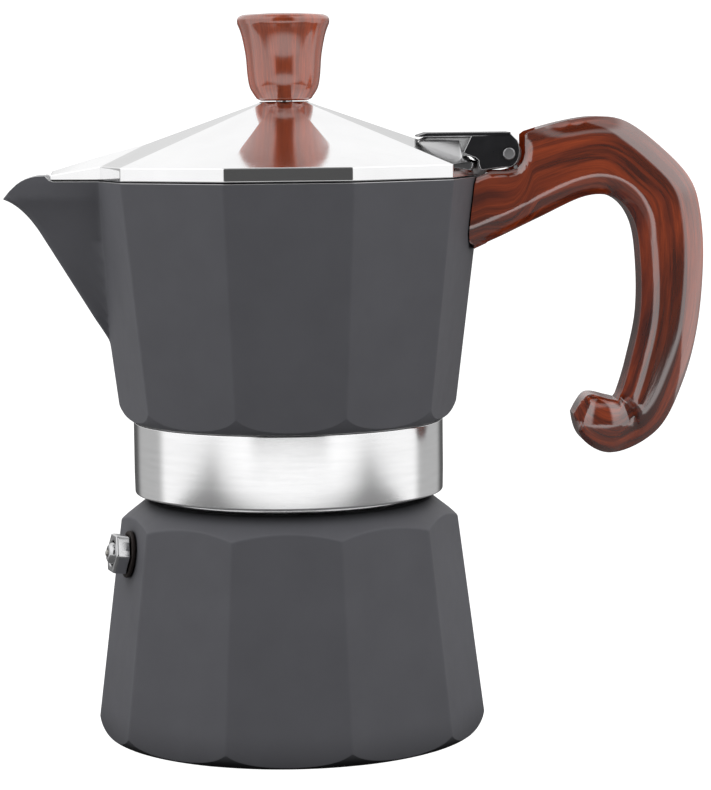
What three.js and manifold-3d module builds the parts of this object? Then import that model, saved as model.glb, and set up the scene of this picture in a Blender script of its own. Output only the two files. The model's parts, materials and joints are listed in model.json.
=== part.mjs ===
// A stovetop moka pot of the three-cup size, in millimetres, with +Z up.
// The origin is the centre of the boiler's flat base. The spout points to -X and the handle to +X.

import * as THREE from 'three';
import { mergeVertices } from 'three/addons/utils/BufferGeometryUtils.js';
import Module from 'manifold-3d';

const wasm = await Module();
wasm.setup();

// ---------------------------------------------------------------- driving dimensions

const SIDES = 10;
const HALF_SIDE_ANGLE = Math.PI / SIDES;
const BOILER_TURN = THREE.MathUtils.degToRad(-2);
const ROUND = 40;
const FINE_GAP = 0.3;

// Boiler: circumradius of the ten-sided wall, the round foot and shoulder that cut it, and the neck.
const BOILER_BASE_R = 46.6;
const BOILER_TOP_R = 40.0;
const BOILER_TOP_Z = 51.8;
const BOILER_WALL = 3.0;
const BOILER_FLOOR = 3.6;
const BOILER_FOOT = [
  [42.2, 0], [43.6, 0.4], [44.8, 1.3], [45.7, 2.6], [46.2, 4.2], [46.8, 6.5], [48.2, 12],
];
const SHOULDER_START_Z = 44.8;
const SHOULDER_HIGH = { r: 33.5, z: 56.3 };
const NECK_R = 31.0;
const NECK_BORE_R = 28.3;
const NECK_TOP_Z = 66.0;

// Thread between neck and collector: one start, right handed.
const THREAD_PITCH = 3.0;
const THREAD_CREST_R = 32.2;
const THREAD_TURNS = 1.75;
const THREAD_START_Z = 58.6;
const THREAD_STEPS_PER_TURN = 24;
const SKIRT_BORE_R = 32.6;
const SKIRT_GROOVE_R = 33.6;

// Collector: round foot behind the collar band, then a ten-sided jug that widens to the rim.
const SKIRT_R = 35.3;
const SKIRT_BOTTOM_Z = 58.0;
const COLLAR_R = 36.7;
const COLLAR_BORE_R = SKIRT_R + FINE_GAP;
const COLLAR_BOTTOM_Z = 57.6;
const COLLAR_TOP_Z = 74.0;
const COLLAR_EDGE_R = 1.2;
const JUG_FOOT_Z = COLLAR_TOP_Z + FINE_GAP;
const JUG_LOW = { r: 40.0, z: 78.5 };
const RIM_R = 46.6;
const RIM_Z = 131.6;
const JUG_WALL = 2.8;
const SEAT_Z = 71.4;
const FLOOR_TOP_Z = 75.6;
const COLUMN_HOLE_R = 5.3;

// Spout: its keel leaves the jug's edge at -X, runs out straight and ends in a turned-down lip.
const SPOUT_FOOT_Z = 94.0;
const SPOUT_ROOT_X = -38;
const SPOUT_HALF_WIDTH = 12.7;
const LIP_HALF_WIDTH = 3.3;
const SPOUT_COVER_END_X = -54.6;
const SPOUT_OUTER = [
  [93.8, -41.9], [95.9, -43.4], [97.6, -44.3], [120.0, -58.0], [122.4, -59.6], [124.7, -61.4],
  [126.4, -63.7], [127.4, -66.2], [129.5, -64.4], [131.4, -62.3], [133.4, -60.0],
];
const SPOUT_INNER = [
  [99.0, -42.6], [120.0, -55.6], [124.0, -58.3], [126.4, -60.9], [127.8, -63.4], [128.5, -66.4],
  [129.2, -70.0], [135.0, -70.0],
];

// Lid: a thin ten-sided pyramid with a gabled cover over the spout and a saddle for the hinge.
const LID_R = 46.4;
const LID_BOTTOM_Z = 131.95;
const LID_BAND_TOP_Z = 135.0;
const LID_SLOPE = 0.3528;
const LID_TOP_R = 5.7;
const LID_SHEET = 1.3;
const LID_BAND_WALL = 2.1;
const SADDLE_TOP_Z = 140.6;
const SADDLE_HALF_WIDTH = 4.9;
const SADDLE_END_X = 44.0;

// Hinge: the pin's axis runs along Y through the lug, and the bracket's two cheeks hang on it.
const PIN = { x: 52.2, z: 136.8 };
const PIN_R = 1.2;
const PIN_HOLE_R = 1.32;
const LUG_HALF_WIDTH = 3.6;
const CHEEK_INNER_Y = 5.2;
const CHEEK_OUTER_Y = 6.2;
const PLATE_BOTTOM_Z = 140.9;
const PLATE_TOP_Z = 141.9;
const RIVET_X = [35.2, 40.4];
const RIVET_R = 1.1;
const RIVET_HEAD_R = 1.9;

// Knob and its screw.
const KNOB_BOTTOM_Z = 149.7;
const KNOB_TOP_Z = 170.0;
const KNOB_BORE_R = 2.2;
const KNOB_BORE_TOP_Z = 160.0;
const KNOB_SCREW_R = 1.9;

// Handle.
const HANDLE_WIDTH = 17.0;
const HANDLE_BEVEL = 3.6;
const HANDLE_SCREW_Z = 126.5;
const HANDLE_SCREW_R = 2.0;
const HANDLE_SCREW_END_X = 60.0;

// Inner pieces between boiler and collector.
const FUNNEL_FLANGE_R = 31.2;
const FUNNEL_FLANGE_T = 0.9;
const BASKET_R = 27.6;
const BASKET_WALL = 0.9;
const BASKET_BOTTOM_Z = 48.0;
const STEM_R = 4.1;
const STEM_BORE_R = 3.2;
const STEM_TOP_Z = 40.0;
const STEM_BOTTOM_Z = 8.0;
const STRAINER_T = 0.8;
const GASKET_T = 2.4;
const GASKET_R = 32.1;
const GASKET_BORE_R = 25.5;
const FILTER_T = 1.0;
const FILTER_R = 32.1;
const FILTER_HOLE_R = 0.9;
const FILTER_RINGS = [{ r: 0, count: 1 }, { r: 7, count: 6 }, { r: 14, count: 12 }];

// Coffee column.
const COLUMN_R = 5.0;
const COLUMN_TOP_R = 4.2;
const COLUMN_BORE_R = 2.0;
const COLUMN_BOTTOM_Z = 71.8;
const COLUMN_TOP_Z = 119.0;
const COLUMN_FLANGE_R = 8.5;
const OUTLET_Z = 114.0;
const OUTLET_R = 1.7;

// Safety valve: its axis stands square on the facet two to the left of the front one.
const VALVE_Z = 44.5;
const VALVE_TURN = BOILER_TURN - THREE.MathUtils.degToRad(162);
const VALVE_HOLE_R = 4.2;
const VALVE_SHANK_R = 3.9;
const VALVE_HEX_WIDTH = 8.8;
const VALVE_HEX_OUT = 4.6;
const VALVE_HEX_IN = 1.4;
const VALVE_INNER_END = -6.0;
const VALVE_SEAT = -4.8;
const VALVE_BORE_R = 2.9;
const VALVE_CAP_R = 2.6;

// ---------------------------------------------------------------- geometry helpers

// Merges shared vertices, drops collapsed triangles and turns the faces outward.
function closeMesh(source) {
  const bare = source.clone();
  bare.deleteAttribute('normal');
  bare.deleteAttribute('uv');
  const merged = mergeVertices(bare, 1e-4);
  const place = merged.attributes.position;
  const index = Array.from(merged.index.array);
  const corners = [new THREE.Vector3(), new THREE.Vector3(), new THREE.Vector3()];
  const kept = [];
  let volume = 0;
  for (let i = 0; i < index.length; i += 3) {
    const [a, b, c] = index.slice(i, i + 3);
    if (a === b || b === c || c === a) continue;
    kept.push([a, b, c]);
    corners[0].fromBufferAttribute(place, a);
    corners[1].fromBufferAttribute(place, b);
    corners[2].fromBufferAttribute(place, c);
    volume += corners[0].dot(corners[1].cross(corners[2]));
  }
  const outward = kept.map(([a, b, c]) => (volume > 0 ? [a, b, c] : [a, c, b]));
  merged.setIndex(outward.flat());
  return merged;
}

// The same closed mesh as a solid that can be joined and cut.
function solid(geometry) {
  const mesh = closeMesh(geometry);
  return new wasm.Manifold(new wasm.Mesh({
    numProp: 3,
    vertProperties: new Float32Array(mesh.attributes.position.array),
    triVerts: new Uint32Array(mesh.index.array),
  }));
}

function geometryOf(body) {
  const mesh = body.getMesh();
  const geometry = new THREE.BufferGeometry();
  geometry.setAttribute('position', new THREE.BufferAttribute(new Float32Array(mesh.vertProperties), 3));
  geometry.setIndex(new THREE.BufferAttribute(new Uint32Array(mesh.triVerts), 1));
  return geometry;
}

// Turns a profile of [radius, height] points about +Z. Its first corner line lies half a step from -Y.
function revolve(profile, segments) {
  const points = profile.map(([r, z]) => new THREE.Vector2(r, z));
  const lathe = new THREE.LatheGeometry(points, segments, Math.PI / segments);
  return lathe.rotateX(Math.PI / 2);
}

const round = (profile, segments = ROUND) => solid(revolve(profile, segments));
const tenSided = (profile) => solid(revolve(profile, SIDES));

// Closes a profile that runs from low to high on its own height range, down to the axis at both ends.
function filled(profile) {
  const low = profile[0][1];
  const high = profile[profile.length - 1][1];
  return [[0, low], ...profile, [0, high]];
}

// A quarter arc from one direction to another, as [radius, height] points.
function arc(centreR, centreZ, radius, fromDegrees, toDegrees, steps) {
  return Array.from({ length: steps + 1 }, (_, i) => {
    const angle = THREE.MathUtils.degToRad(fromDegrees + ((toDegrees - fromDegrees) * i) / steps);
    return [centreR + radius * Math.cos(angle), centreZ + radius * Math.sin(angle)];
  });
}

// An outline in the XZ plane, with a thickness along Y from one value to another.
function slab(outline, yFrom, yTo) {
  const shape = new THREE.Shape(outline.map(([x, z]) => new THREE.Vector2(x, z)));
  const extruded = new THREE.ExtrudeGeometry(shape, { depth: yTo - yFrom, bevelEnabled: false });
  return solid(extruded.rotateX(Math.PI / 2).translate(0, yTo, 0));
}

function block(xFrom, xTo, yFrom, yTo, zFrom, zTo) {
  const box = new THREE.BoxGeometry(xTo - xFrom, yTo - yFrom, zTo - zFrom);
  return solid(box.translate((xFrom + xTo) / 2, (yFrom + yTo) / 2, (zFrom + zTo) / 2));
}

// A rod along X, Y or Z between two values on that axis.
function rod(axis, radius, from, to, centre, segments = 16) {
  const cylinder = new THREE.CylinderGeometry(radius, radius, to - from, segments);
  if (axis === 'x') cylinder.rotateZ(Math.PI / 2);
  if (axis === 'z') cylinder.rotateX(Math.PI / 2);
  const middle = new THREE.Vector3(centre.x, centre.y, centre.z);
  middle[axis] = (from + to) / 2;
  return solid(cylinder.translate(middle.x, middle.y, middle.z));
}

// Skins rings of equal point counts, one after another, and closes both ends.
function loft(rings) {
  const count = rings[0].length;
  const index = [];
  for (let ring = 0; ring + 1 < rings.length; ring += 1) {
    for (let i = 0; i < count; i += 1) {
      const a = ring * count + i;
      const b = ring * count + ((i + 1) % count);
      index.push(a, b, b + count, a, b + count, a + count);
    }
  }
  const last = (rings.length - 1) * count;
  for (let i = 1; i + 1 < count; i += 1) {
    index.push(0, i + 1, i, last, last + i, last + i + 1);
  }
  const geometry = new THREE.BufferGeometry().setFromPoints(rings.flat());
  geometry.setIndex(index);
  return solid(geometry);
}

// A helical ridge with a trapezoid section whose crest fades in and out at its two ends.
function helix(rootR, crestR, rootHalf, crestHalf, startZ, turns) {
  const steps = Math.round(turns * THREAD_STEPS_PER_TURN);
  const rings = [];
  for (let i = 0; i <= steps; i += 1) {
    const angle = (i / THREAD_STEPS_PER_TURN) * 2 * Math.PI;
    const middle = startZ + (i / THREAD_STEPS_PER_TURN) * THREAD_PITCH;
    const fade = Math.min(1, 0.3 + i / 4, 0.3 + (steps - i) / 4);
    const crest = rootR + (crestR - rootR) * fade;
    const section = [[rootR, -rootHalf], [crest, -crestHalf], [crest, crestHalf], [rootR, rootHalf]];
    rings.push(section.map(([r, dz]) => (
      new THREE.Vector3(r * Math.cos(angle), r * Math.sin(angle), middle + dz)
    )));
  }
  return loft(rings);
}

// Small round holes on concentric rings through a flat disc.
function perforate(disc, zFrom, zTo) {
  let sheet = disc;
  for (const ring of FILTER_RINGS) {
    for (let i = 0; i < ring.count; i += 1) {
      const angle = (i / ring.count) * 2 * Math.PI;
      const centre = { x: ring.r * Math.cos(angle), y: ring.r * Math.sin(angle), z: 0 };
      sheet = sheet.subtract(rod('z', FILTER_HOLE_R, zFrom - 1, zTo + 1, centre, 6));
    }
  }
  return sheet;
}

// ---------------------------------------------------------------- finishes

function finish(color, roughness, metalness) {
  return new THREE.MeshStandardMaterial({ color, roughness, metalness });
}

const paint = () => finish(0x535456, 0.45, 0.1);
const polished = () => finish(0xd6d6d8, 0.15, 1.0);
const castAluminium = () => finish(0xb4b5b8, 0.4, 1.0);
const steel = () => finish(0xc2c3c5, 0.3, 1.0);
const brass = () => finish(0xb89a55, 0.35, 1.0);
const woodPrint = () => finish(0x6b2416, 0.25, 0.0);
const blackPaint = () => finish(0x17171a, 0.35, 0.2);
const rubber = () => finish(0xe6e3dc, 0.6, 0.0);
const fibre = () => finish(0x5d2a22, 0.7, 0.0);

function piece(name, geometry, material) {
  const mesh = new THREE.Mesh(geometry, material);
  mesh.name = name;
  return mesh;
}

// ---------------------------------------------------------------- boiler

// Circumradius of the ten-sided boiler wall at a height.
function boilerR(z) {
  return THREE.MathUtils.lerp(BOILER_BASE_R, BOILER_TOP_R, z / BOILER_TOP_Z);
}

const inner = (circumradius) => circumradius * Math.cos(HALF_SIDE_ANGLE);

// Local +Z points out of the wall, square to the facet, from the point where the valve's axis meets it.
function valvePlace() {
  const lean = Math.atan((inner(BOILER_BASE_R) - inner(BOILER_TOP_R)) / BOILER_TOP_Z);
  const wall = inner(boilerR(VALVE_Z));
  const turn = new THREE.Matrix4().makeRotationZ(VALVE_TURN);
  const shift = new THREE.Matrix4().makeTranslation(wall, 0, VALVE_Z);
  const tilt = new THREE.Matrix4().makeRotationY(Math.PI / 2 - lean);
  return turn.multiply(shift).multiply(tilt);
}

function boiler() {
  const facets = tenSided(filled([[BOILER_BASE_R, 0], [boilerR(SHOULDER_HIGH.z), SHOULDER_HIGH.z]]));
  const footAndShoulder = round(filled([
    ...BOILER_FOOT,
    [BOILER_FOOT[BOILER_FOOT.length - 1][0], SHOULDER_START_Z],
    [SHOULDER_HIGH.r, SHOULDER_HIGH.z],
  ]));
  const neck = round(filled([
    [NECK_R, SHOULDER_HIGH.z - 3],
    [NECK_R, NECK_TOP_Z - 0.8],
    [NECK_R - 0.8, NECK_TOP_Z],
  ]));
  const thread = helix(NECK_R - 0.3, THREAD_CREST_R, 1.1, 0.35, THREAD_START_Z, THREAD_TURNS);
  const cavityLow = inner(boilerR(BOILER_FLOOR)) - BOILER_WALL;
  const cavityHigh = inner(boilerR(BOILER_TOP_Z)) - BOILER_WALL;
  const cavity = round(filled([
    [cavityLow - 4, BOILER_FLOOR],
    [cavityLow - 1.2, BOILER_FLOOR + 1.2],
    [cavityLow, BOILER_FLOOR + 4],
    [cavityHigh, BOILER_TOP_Z - 3],
    [NECK_BORE_R, SHOULDER_HIGH.z],
    [NECK_BORE_R, NECK_TOP_Z + 1],
  ]));
  const hole = solid(new THREE.CylinderGeometry(VALVE_HOLE_R, VALVE_HOLE_R, 16, 24)
    .rotateX(Math.PI / 2).applyMatrix4(valvePlace()));
  const turned = facets.rotate([0, 0, THREE.MathUtils.radToDeg(BOILER_TURN)]);
  return turned.intersect(footAndShoulder).add(neck).add(thread).subtract(cavity).subtract(hole);
}

// ---------------------------------------------------------------- safety valve, in its own frame

function valveBody() {
  const hexR = VALVE_HEX_WIDTH / 2 / Math.cos(Math.PI / 6);
  const hex = round(filled([
    [hexR, VALVE_HEX_IN],
    [hexR, VALVE_HEX_OUT - 0.5],
    [hexR - 0.7, VALVE_HEX_OUT],
  ]), 6);
  const shank = round(filled([[VALVE_SHANK_R, VALVE_INNER_END], [VALVE_SHANK_R, VALVE_HEX_IN + 0.5]]), 24);
  const chamber = round(filled([[VALVE_BORE_R, VALVE_SEAT], [VALVE_BORE_R, VALVE_HEX_OUT + 1]]), 24);
  const inlet = round(filled([[1.2, VALVE_INNER_END - 1], [1.2, VALVE_SEAT + 1]]), 16);
  return hex.add(shank).subtract(chamber).subtract(inlet);
}

// A flat ring between two radii and two heights.
const flatRing = (innerR, outerR, bottom, top, steps) => round([
  [innerR, bottom], [outerR, bottom], [outerR, top], [innerR, top], [innerR, bottom],
], steps);

const valveWasher = () => flatRing(VALVE_HOLE_R, 5.5, FINE_GAP, 1.1, 24);

const valvePin = () => round(filled([
  [2.2, VALVE_SEAT + 0.1], [2.2, VALVE_SEAT + 1.1], [0.8, VALVE_SEAT + 1.2], [0.8, 5.9], [0.5, 6.2],
]), 16);

const valveCap = () => round([
  [1.0, 3.4], [VALVE_CAP_R, 3.4], [VALVE_CAP_R, 4.8], [2.2, 5.4], [1.4, 5.7], [1.0, 5.7], [1.0, 3.4],
], 24);

// A round-wire compression spring between the pin's head and the cap.
function valveSpring() {
  const wireR = 0.28;
  const coilR = 1.7;
  const turns = 4;
  const perTurn = 10;
  const low = VALVE_SEAT + 1.7;
  const high = 2.9;
  const rings = Array.from({ length: turns * perTurn + 1 }, (_, i) => {
    const angle = (i / perTurn) * 2 * Math.PI;
    const height = THREE.MathUtils.lerp(low, high, i / (turns * perTurn));
    return Array.from({ length: 5 }, (__, j) => {
      const around = (j / 5) * 2 * Math.PI;
      const r = coilR + wireR * Math.cos(around);
      return new THREE.Vector3(r * Math.cos(angle), r * Math.sin(angle), height + wireR * Math.sin(around));
    });
  });
  return loft(rings);
}

// ---------------------------------------------------------------- funnel, strainer, gasket, filter

const FLANGE_Z = NECK_TOP_Z + FINE_GAP;

function funnel() {
  const insideR = BASKET_R - BASKET_WALL;
  return round([
    [STEM_R, STEM_BOTTOM_Z],
    [STEM_R, STEM_TOP_Z],
    [BASKET_R - 5, BASKET_BOTTOM_Z - 1.4],
    [BASKET_R, BASKET_BOTTOM_Z + 1],
    [BASKET_R, FLANGE_Z],
    [FUNNEL_FLANGE_R, FLANGE_Z],
    [FUNNEL_FLANGE_R, FLANGE_Z + FUNNEL_FLANGE_T],
    [insideR, FLANGE_Z + FUNNEL_FLANGE_T],
    [insideR, BASKET_BOTTOM_Z + 1],
    [insideR - 3.6, BASKET_BOTTOM_Z - 0.6],
    [STEM_BORE_R, STEM_TOP_Z + 0.7],
    [STEM_BORE_R, STEM_BOTTOM_Z],
    [STEM_R, STEM_BOTTOM_Z],
  ], 36);
}

function funnelStrainer() {
  const low = BASKET_BOTTOM_Z + 1.6;
  const edge = BASKET_R - BASKET_WALL - 0.4;
  const disc = round(filled([[edge, low], [edge, low + STRAINER_T]]), 36);
  return perforate(disc, low, low + STRAINER_T);
}

const GASKET_Z = FLANGE_Z + FUNNEL_FLANGE_T + 0.2;

const gasket = () => flatRing(GASKET_BORE_R, GASKET_R, GASKET_Z, GASKET_Z + GASKET_T, 40);

function filterPlate() {
  const low = GASKET_Z + GASKET_T + 0.2;
  const disc = round(filled([[FILTER_R, low], [FILTER_R, low + FILTER_T]]), 40);
  return perforate(disc, low, low + FILTER_T);
}

// ---------------------------------------------------------------- collector

// Circumradius of the ten-sided jug at a height, and with a clearance all round.
const jugR = (z) => RIM_R - ((RIM_Z - z) * (RIM_R - JUG_LOW.r)) / (RIM_Z - JUG_LOW.z);

const jugEnvelope = (clearance) => tenSided(filled([
  [jugR(JUG_FOOT_Z) + clearance, JUG_FOOT_Z], [jugR(RIM_Z) + clearance, RIM_Z],
]));

function jugShell() {
  const roundFoot = round(filled([
    [COLLAR_R + 0.1, JUG_FOOT_Z],
    [COLLAR_R + 1.1, JUG_FOOT_Z + 0.8],
    [COLLAR_R + 2.2, JUG_FOOT_Z + 2.3],
    [JUG_LOW.r - 0.1, JUG_LOW.z],
    [JUG_LOW.r + 1.0, JUG_LOW.z + 3.4],
    [RIM_R + 1.0, JUG_LOW.z + 30],
    [RIM_R + 1.0, RIM_Z],
  ]));
  const skirt = round(filled([[SKIRT_R, SKIRT_BOTTOM_Z], [SKIRT_R, JUG_FOOT_Z + 1]]));
  return jugEnvelope(0).intersect(roundFoot).add(skirt);
}

function jugCavity() {
  const low = jugR(FLOOR_TOP_Z) - JUG_WALL;
  return tenSided(filled([
    [low - 5, FLOOR_TOP_Z],
    [low - 2.2, FLOOR_TOP_Z + 0.8],
    [low - 0.4, FLOOR_TOP_Z + 3],
    [jugR(RIM_Z) - JUG_WALL, RIM_Z],
    [jugR(RIM_Z) - JUG_WALL, RIM_Z + 1],
  ]));
}

function underside() {
  const recess = round(filled([
    [SKIRT_BORE_R, SKIRT_BOTTOM_Z - 1],
    [SKIRT_BORE_R, SEAT_Z],
    [24, SEAT_Z],
    [20, SEAT_Z + 1.4],
    [COLUMN_HOLE_R, SEAT_Z + 1.8],
  ]));
  const groove = helix(SKIRT_BORE_R - 0.3, SKIRT_GROOVE_R, 1.2, 0.5, SKIRT_BOTTOM_Z + 1.6, 2.25);
  return recess.add(groove);
}

// One flat section of the spout: two straight sides that draw together and a round nose.
function spoutRing(z, noseX, share, thinner) {
  const sideHalf = THREE.MathUtils.lerp(0.6, SPOUT_HALF_WIDTH - thinner, share);
  const noseHalf = THREE.MathUtils.lerp(0.4, LIP_HALF_WIDTH - thinner * 0.8, share);
  const noseSteps = 6;
  const ring = [new THREE.Vector3(SPOUT_ROOT_X, -sideHalf, z)];
  for (let i = 0; i <= noseSteps; i += 1) {
    const angle = -Math.PI / 2 + (i / noseSteps) * Math.PI;
    const x = noseX + noseHalf * (1 - Math.cos(angle));
    ring.push(new THREE.Vector3(x, noseHalf * Math.sin(angle), z));
  }
  ring.push(new THREE.Vector3(SPOUT_ROOT_X, sideHalf, z));
  return ring;
}

function spoutLoft(keel, thinner) {
  return loft(keel.map(([z, x]) => {
    const share = THREE.MathUtils.clamp((z - SPOUT_FOOT_Z) / (RIM_Z - SPOUT_FOOT_Z), 0, 1);
    return spoutRing(z, x, share, thinner);
  }));
}

// The lug rises from the rim through the lid's notch and carries the hinge pin.
function hingeLug() {
  const eye = rod('y', 3.3, -LUG_HALF_WIDTH, LUG_HALF_WIDTH, { x: PIN.x, y: 0, z: PIN.z }, 24);
  const arm = slab([
    [43.9, 131.1], [46.3, 131.1], [47.2, 132.9], [52.2, 133.5], [54.6, 134.6],
    [52.6, 140.0], [49.4, 138.9], [43.9, 134.2],
  ], -LUG_HALF_WIDTH, LUG_HALF_WIDTH);
  const hole = rod('y', PIN_HOLE_R, -LUG_HALF_WIDTH - 1, LUG_HALF_WIDTH + 1, { x: PIN.x, y: 0, z: PIN.z });
  return eye.add(arm).subtract(hole);
}

function collector() {
  const rimCut = block(SPOUT_COVER_END_X - 0.4, -30, -14, 14, RIM_Z, RIM_Z + 10);
  const screwHole = rod('x', HANDLE_SCREW_R + FINE_GAP, 38, 50, { x: 0, y: 0, z: HANDLE_SCREW_Z });
  const columnHole = rod('z', COLUMN_HOLE_R, SEAT_Z - 1, FLOOR_TOP_Z + 1, { x: 0, y: 0, z: 0 }, 24);
  return jugShell()
    .add(spoutLoft(SPOUT_OUTER, 0))
    .subtract(rimCut)
    .subtract(spoutLoft(SPOUT_INNER, 1.5))
    .subtract(jugCavity())
    .add(hingeLug())
    .subtract(underside())
    .subtract(columnHole)
    .subtract(screwHole);
}

const collarBand = () => round([
  [COLLAR_BORE_R, COLLAR_BOTTOM_Z],
  ...arc(COLLAR_R - COLLAR_EDGE_R, COLLAR_BOTTOM_Z + COLLAR_EDGE_R, COLLAR_EDGE_R, -75, 0, 3),
  [COLLAR_R, COLLAR_TOP_Z - 0.4],
  [COLLAR_R - 0.4, COLLAR_TOP_Z],
  [COLLAR_BORE_R, COLLAR_TOP_Z],
  [COLLAR_BORE_R, COLLAR_BOTTOM_Z],
]);

function coffeeColumn() {
  const flangeLow = FLOOR_TOP_Z + 0.2;
  const outside = round(filled([
    [COLUMN_R, COLUMN_BOTTOM_Z],
    [COLUMN_R, flangeLow],
    [COLUMN_FLANGE_R, flangeLow],
    [COLUMN_FLANGE_R, flangeLow + 1.2],
    [COLUMN_R + 0.4, flangeLow + 3],
    [COLUMN_TOP_R, COLUMN_TOP_Z - 2.5],
    [COLUMN_TOP_R - 0.8, COLUMN_TOP_Z - 0.8],
    [COLUMN_TOP_R - 2.4, COLUMN_TOP_Z],
  ]), 24);
  const bore = round(filled([[COLUMN_BORE_R, COLUMN_BOTTOM_Z - 1], [COLUMN_BORE_R, OUTLET_Z + 1.5]]), 16);
  const outlets = rod('y', OUTLET_R, -8, 8, { x: 0, y: 0, z: OUTLET_Z }, 12);
  return outside.subtract(bore).subtract(outlets);
}

// ---------------------------------------------------------------- handle and its screw

// The handle's side outline: over the top, down the back, round the hooked end and up the finger side.
function handleShape() {
  const back = [
    [64.5, 144.1], [72.7, 145.3], [79.8, 144.1], [87.9, 138.2], [94.8, 130.8], [97.3, 123.2],
    [98.1, 111.5], [96.8, 96.1], [93.3, 83.1], [86.8, 72.2], [77.3, 66.1], [69.9, 68.8],
    [67.4, 75.2], [70.8, 79.7], [75.9, 78.7],
  ];
  const fingerSide = [
    [79.1, 81.2], [80.9, 87.4], [83.2, 98.5], [83.3, 110.5], [81.8, 120.4], [77.4, 126.1],
    [70.3, 126.7], [59.2, 121.8], [47.4, 116.2],
  ];
  const shape = new THREE.Shape();
  shape.moveTo(40, 137.4);
  shape.lineTo(57.2, 142.0);
  shape.splineThru(back.map(([x, z]) => new THREE.Vector2(x, z)));
  shape.lineTo(77.9, 78.4);
  shape.splineThru(fingerSide.map(([x, z]) => new THREE.Vector2(x, z)));
  shape.lineTo(40, 112.8);
  shape.closePath();
  return shape;
}

function handle() {
  const bevelled = new THREE.ExtrudeGeometry(handleShape(), {
    depth: HANDLE_WIDTH - 2 * HANDLE_BEVEL,
    curveSegments: 2,
    bevelSize: HANDLE_BEVEL,
    bevelThickness: HANDLE_BEVEL,
    bevelOffset: -HANDLE_BEVEL,
    bevelSegments: 3,
  });
  const blank = solid(bevelled.rotateX(Math.PI / 2).translate(0, HANDLE_WIDTH / 2 - HANDLE_BEVEL, 0));
  const notch = slab([
    [38, 131.4], [45.5, 131.6], [47.5, 132.8], [51.8, 132.8], [54.0, 133.4], [55.3, 134.8],
    [55.9, 137.0], [55.9, 150], [38, 150],
  ], -20, 20);
  const lugGroove = block(40, 47.8, -LUG_HALF_WIDTH - FINE_GAP, LUG_HALF_WIDTH + FINE_GAP, 131, 134);
  const bracketGroove = block(42, 59.2, -CHEEK_OUTER_Y - 0.5, CHEEK_OUTER_Y + 0.5, 132.3, 150);
  const screwAxis = { x: 0, y: 0, z: HANDLE_SCREW_Z };
  const screwHole = rod('x', HANDLE_SCREW_R + FINE_GAP, 40, HANDLE_SCREW_END_X + 1, screwAxis);
  return blank
    .subtract(jugEnvelope(0.35))
    .subtract(block(30, 44, -20, 20, 105, 116))
    .subtract(notch)
    .subtract(lugGroove)
    .subtract(bracketGroove)
    .subtract(screwHole);
}

// A pan-head screw that points along +Z, its head's seat at z = 0.
function screw(shankR, headR, headHeight, length) {
  const slotWidth = 0.9;
  const body = round(filled([
    [headR - 0.9, -headHeight], [headR, -headHeight + 0.8], [headR, 0], [shankR, 0],
    [shankR, length - 0.8], [shankR - 0.8, length],
  ]), 16);
  const half = slotWidth / 2;
  return body.subtract(block(-headR, headR, -half, half, -headHeight - 1, -headHeight + 1));
}

// ---------------------------------------------------------------- lid, bracket, knob

const lidTopZ = (r) => LID_BAND_TOP_Z + (LID_R - r) * LID_SLOPE;

// One gable section of the spout cover across the lid at a given x.
function gable(x, ridgeZ, halfWidth, eavesZ, bottomZ) {
  return [
    new THREE.Vector3(x, 0, ridgeZ),
    new THREE.Vector3(x, halfWidth, eavesZ),
    new THREE.Vector3(x, halfWidth, bottomZ),
    new THREE.Vector3(x, -halfWidth, bottomZ),
    new THREE.Vector3(x, -halfWidth, eavesZ),
  ];
}

function lid() {
  const outside = tenSided(filled([
    [LID_R, LID_BOTTOM_Z], [LID_R, LID_BAND_TOP_Z], [LID_TOP_R, lidTopZ(LID_TOP_R)],
  ]));
  const inside = tenSided(filled([
    [LID_R - LID_BAND_WALL, LID_BOTTOM_Z - 1],
    [LID_R - LID_BAND_WALL, lidTopZ(LID_R - LID_BAND_WALL) - LID_SHEET],
    [9, lidTopZ(9) - LID_SHEET],
  ]));
  const cover = loft([
    gable(-32, 140.0, 13.0, 137.2, LID_BOTTOM_Z),
    gable(-43, 137.3, 11.0, 135.0, LID_BOTTOM_Z),
    gable(SPOUT_COVER_END_X, 133.8, 6.8, 133.0, LID_BOTTOM_Z),
  ]);
  const coverInside = loft([
    gable(-34, 138.2, 11.0, 135.6, LID_BOTTOM_Z - 1),
    gable(-43, 136.0, 9.4, 133.9, LID_BOTTOM_Z - 1),
    gable(SPOUT_COVER_END_X + 1.4, 132.9, 5.4, 132.5, LID_BOTTOM_Z - 1),
  ]);
  const saddle = block(30.8, SADDLE_END_X, -SADDLE_HALF_WIDTH, SADDLE_HALF_WIDTH, 136.0, SADDLE_TOP_Z);
  const lugNotch = block(43.4, 60, -LUG_HALF_WIDTH - 0.4, LUG_HALF_WIDTH + 0.4, 130, 150);
  let body = outside.add(cover).add(saddle).subtract(inside).subtract(coverInside).subtract(lugNotch);
  for (const x of RIVET_X) {
    body = body.subtract(rod('z', RIVET_R + FINE_GAP, 138.0, 142, { x, y: 0, z: 0 }, 16));
  }
  return body.subtract(rod('z', KNOB_SCREW_R + FINE_GAP, 140, 152, { x: 0, y: 0, z: 0 }, 16));
}

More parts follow.
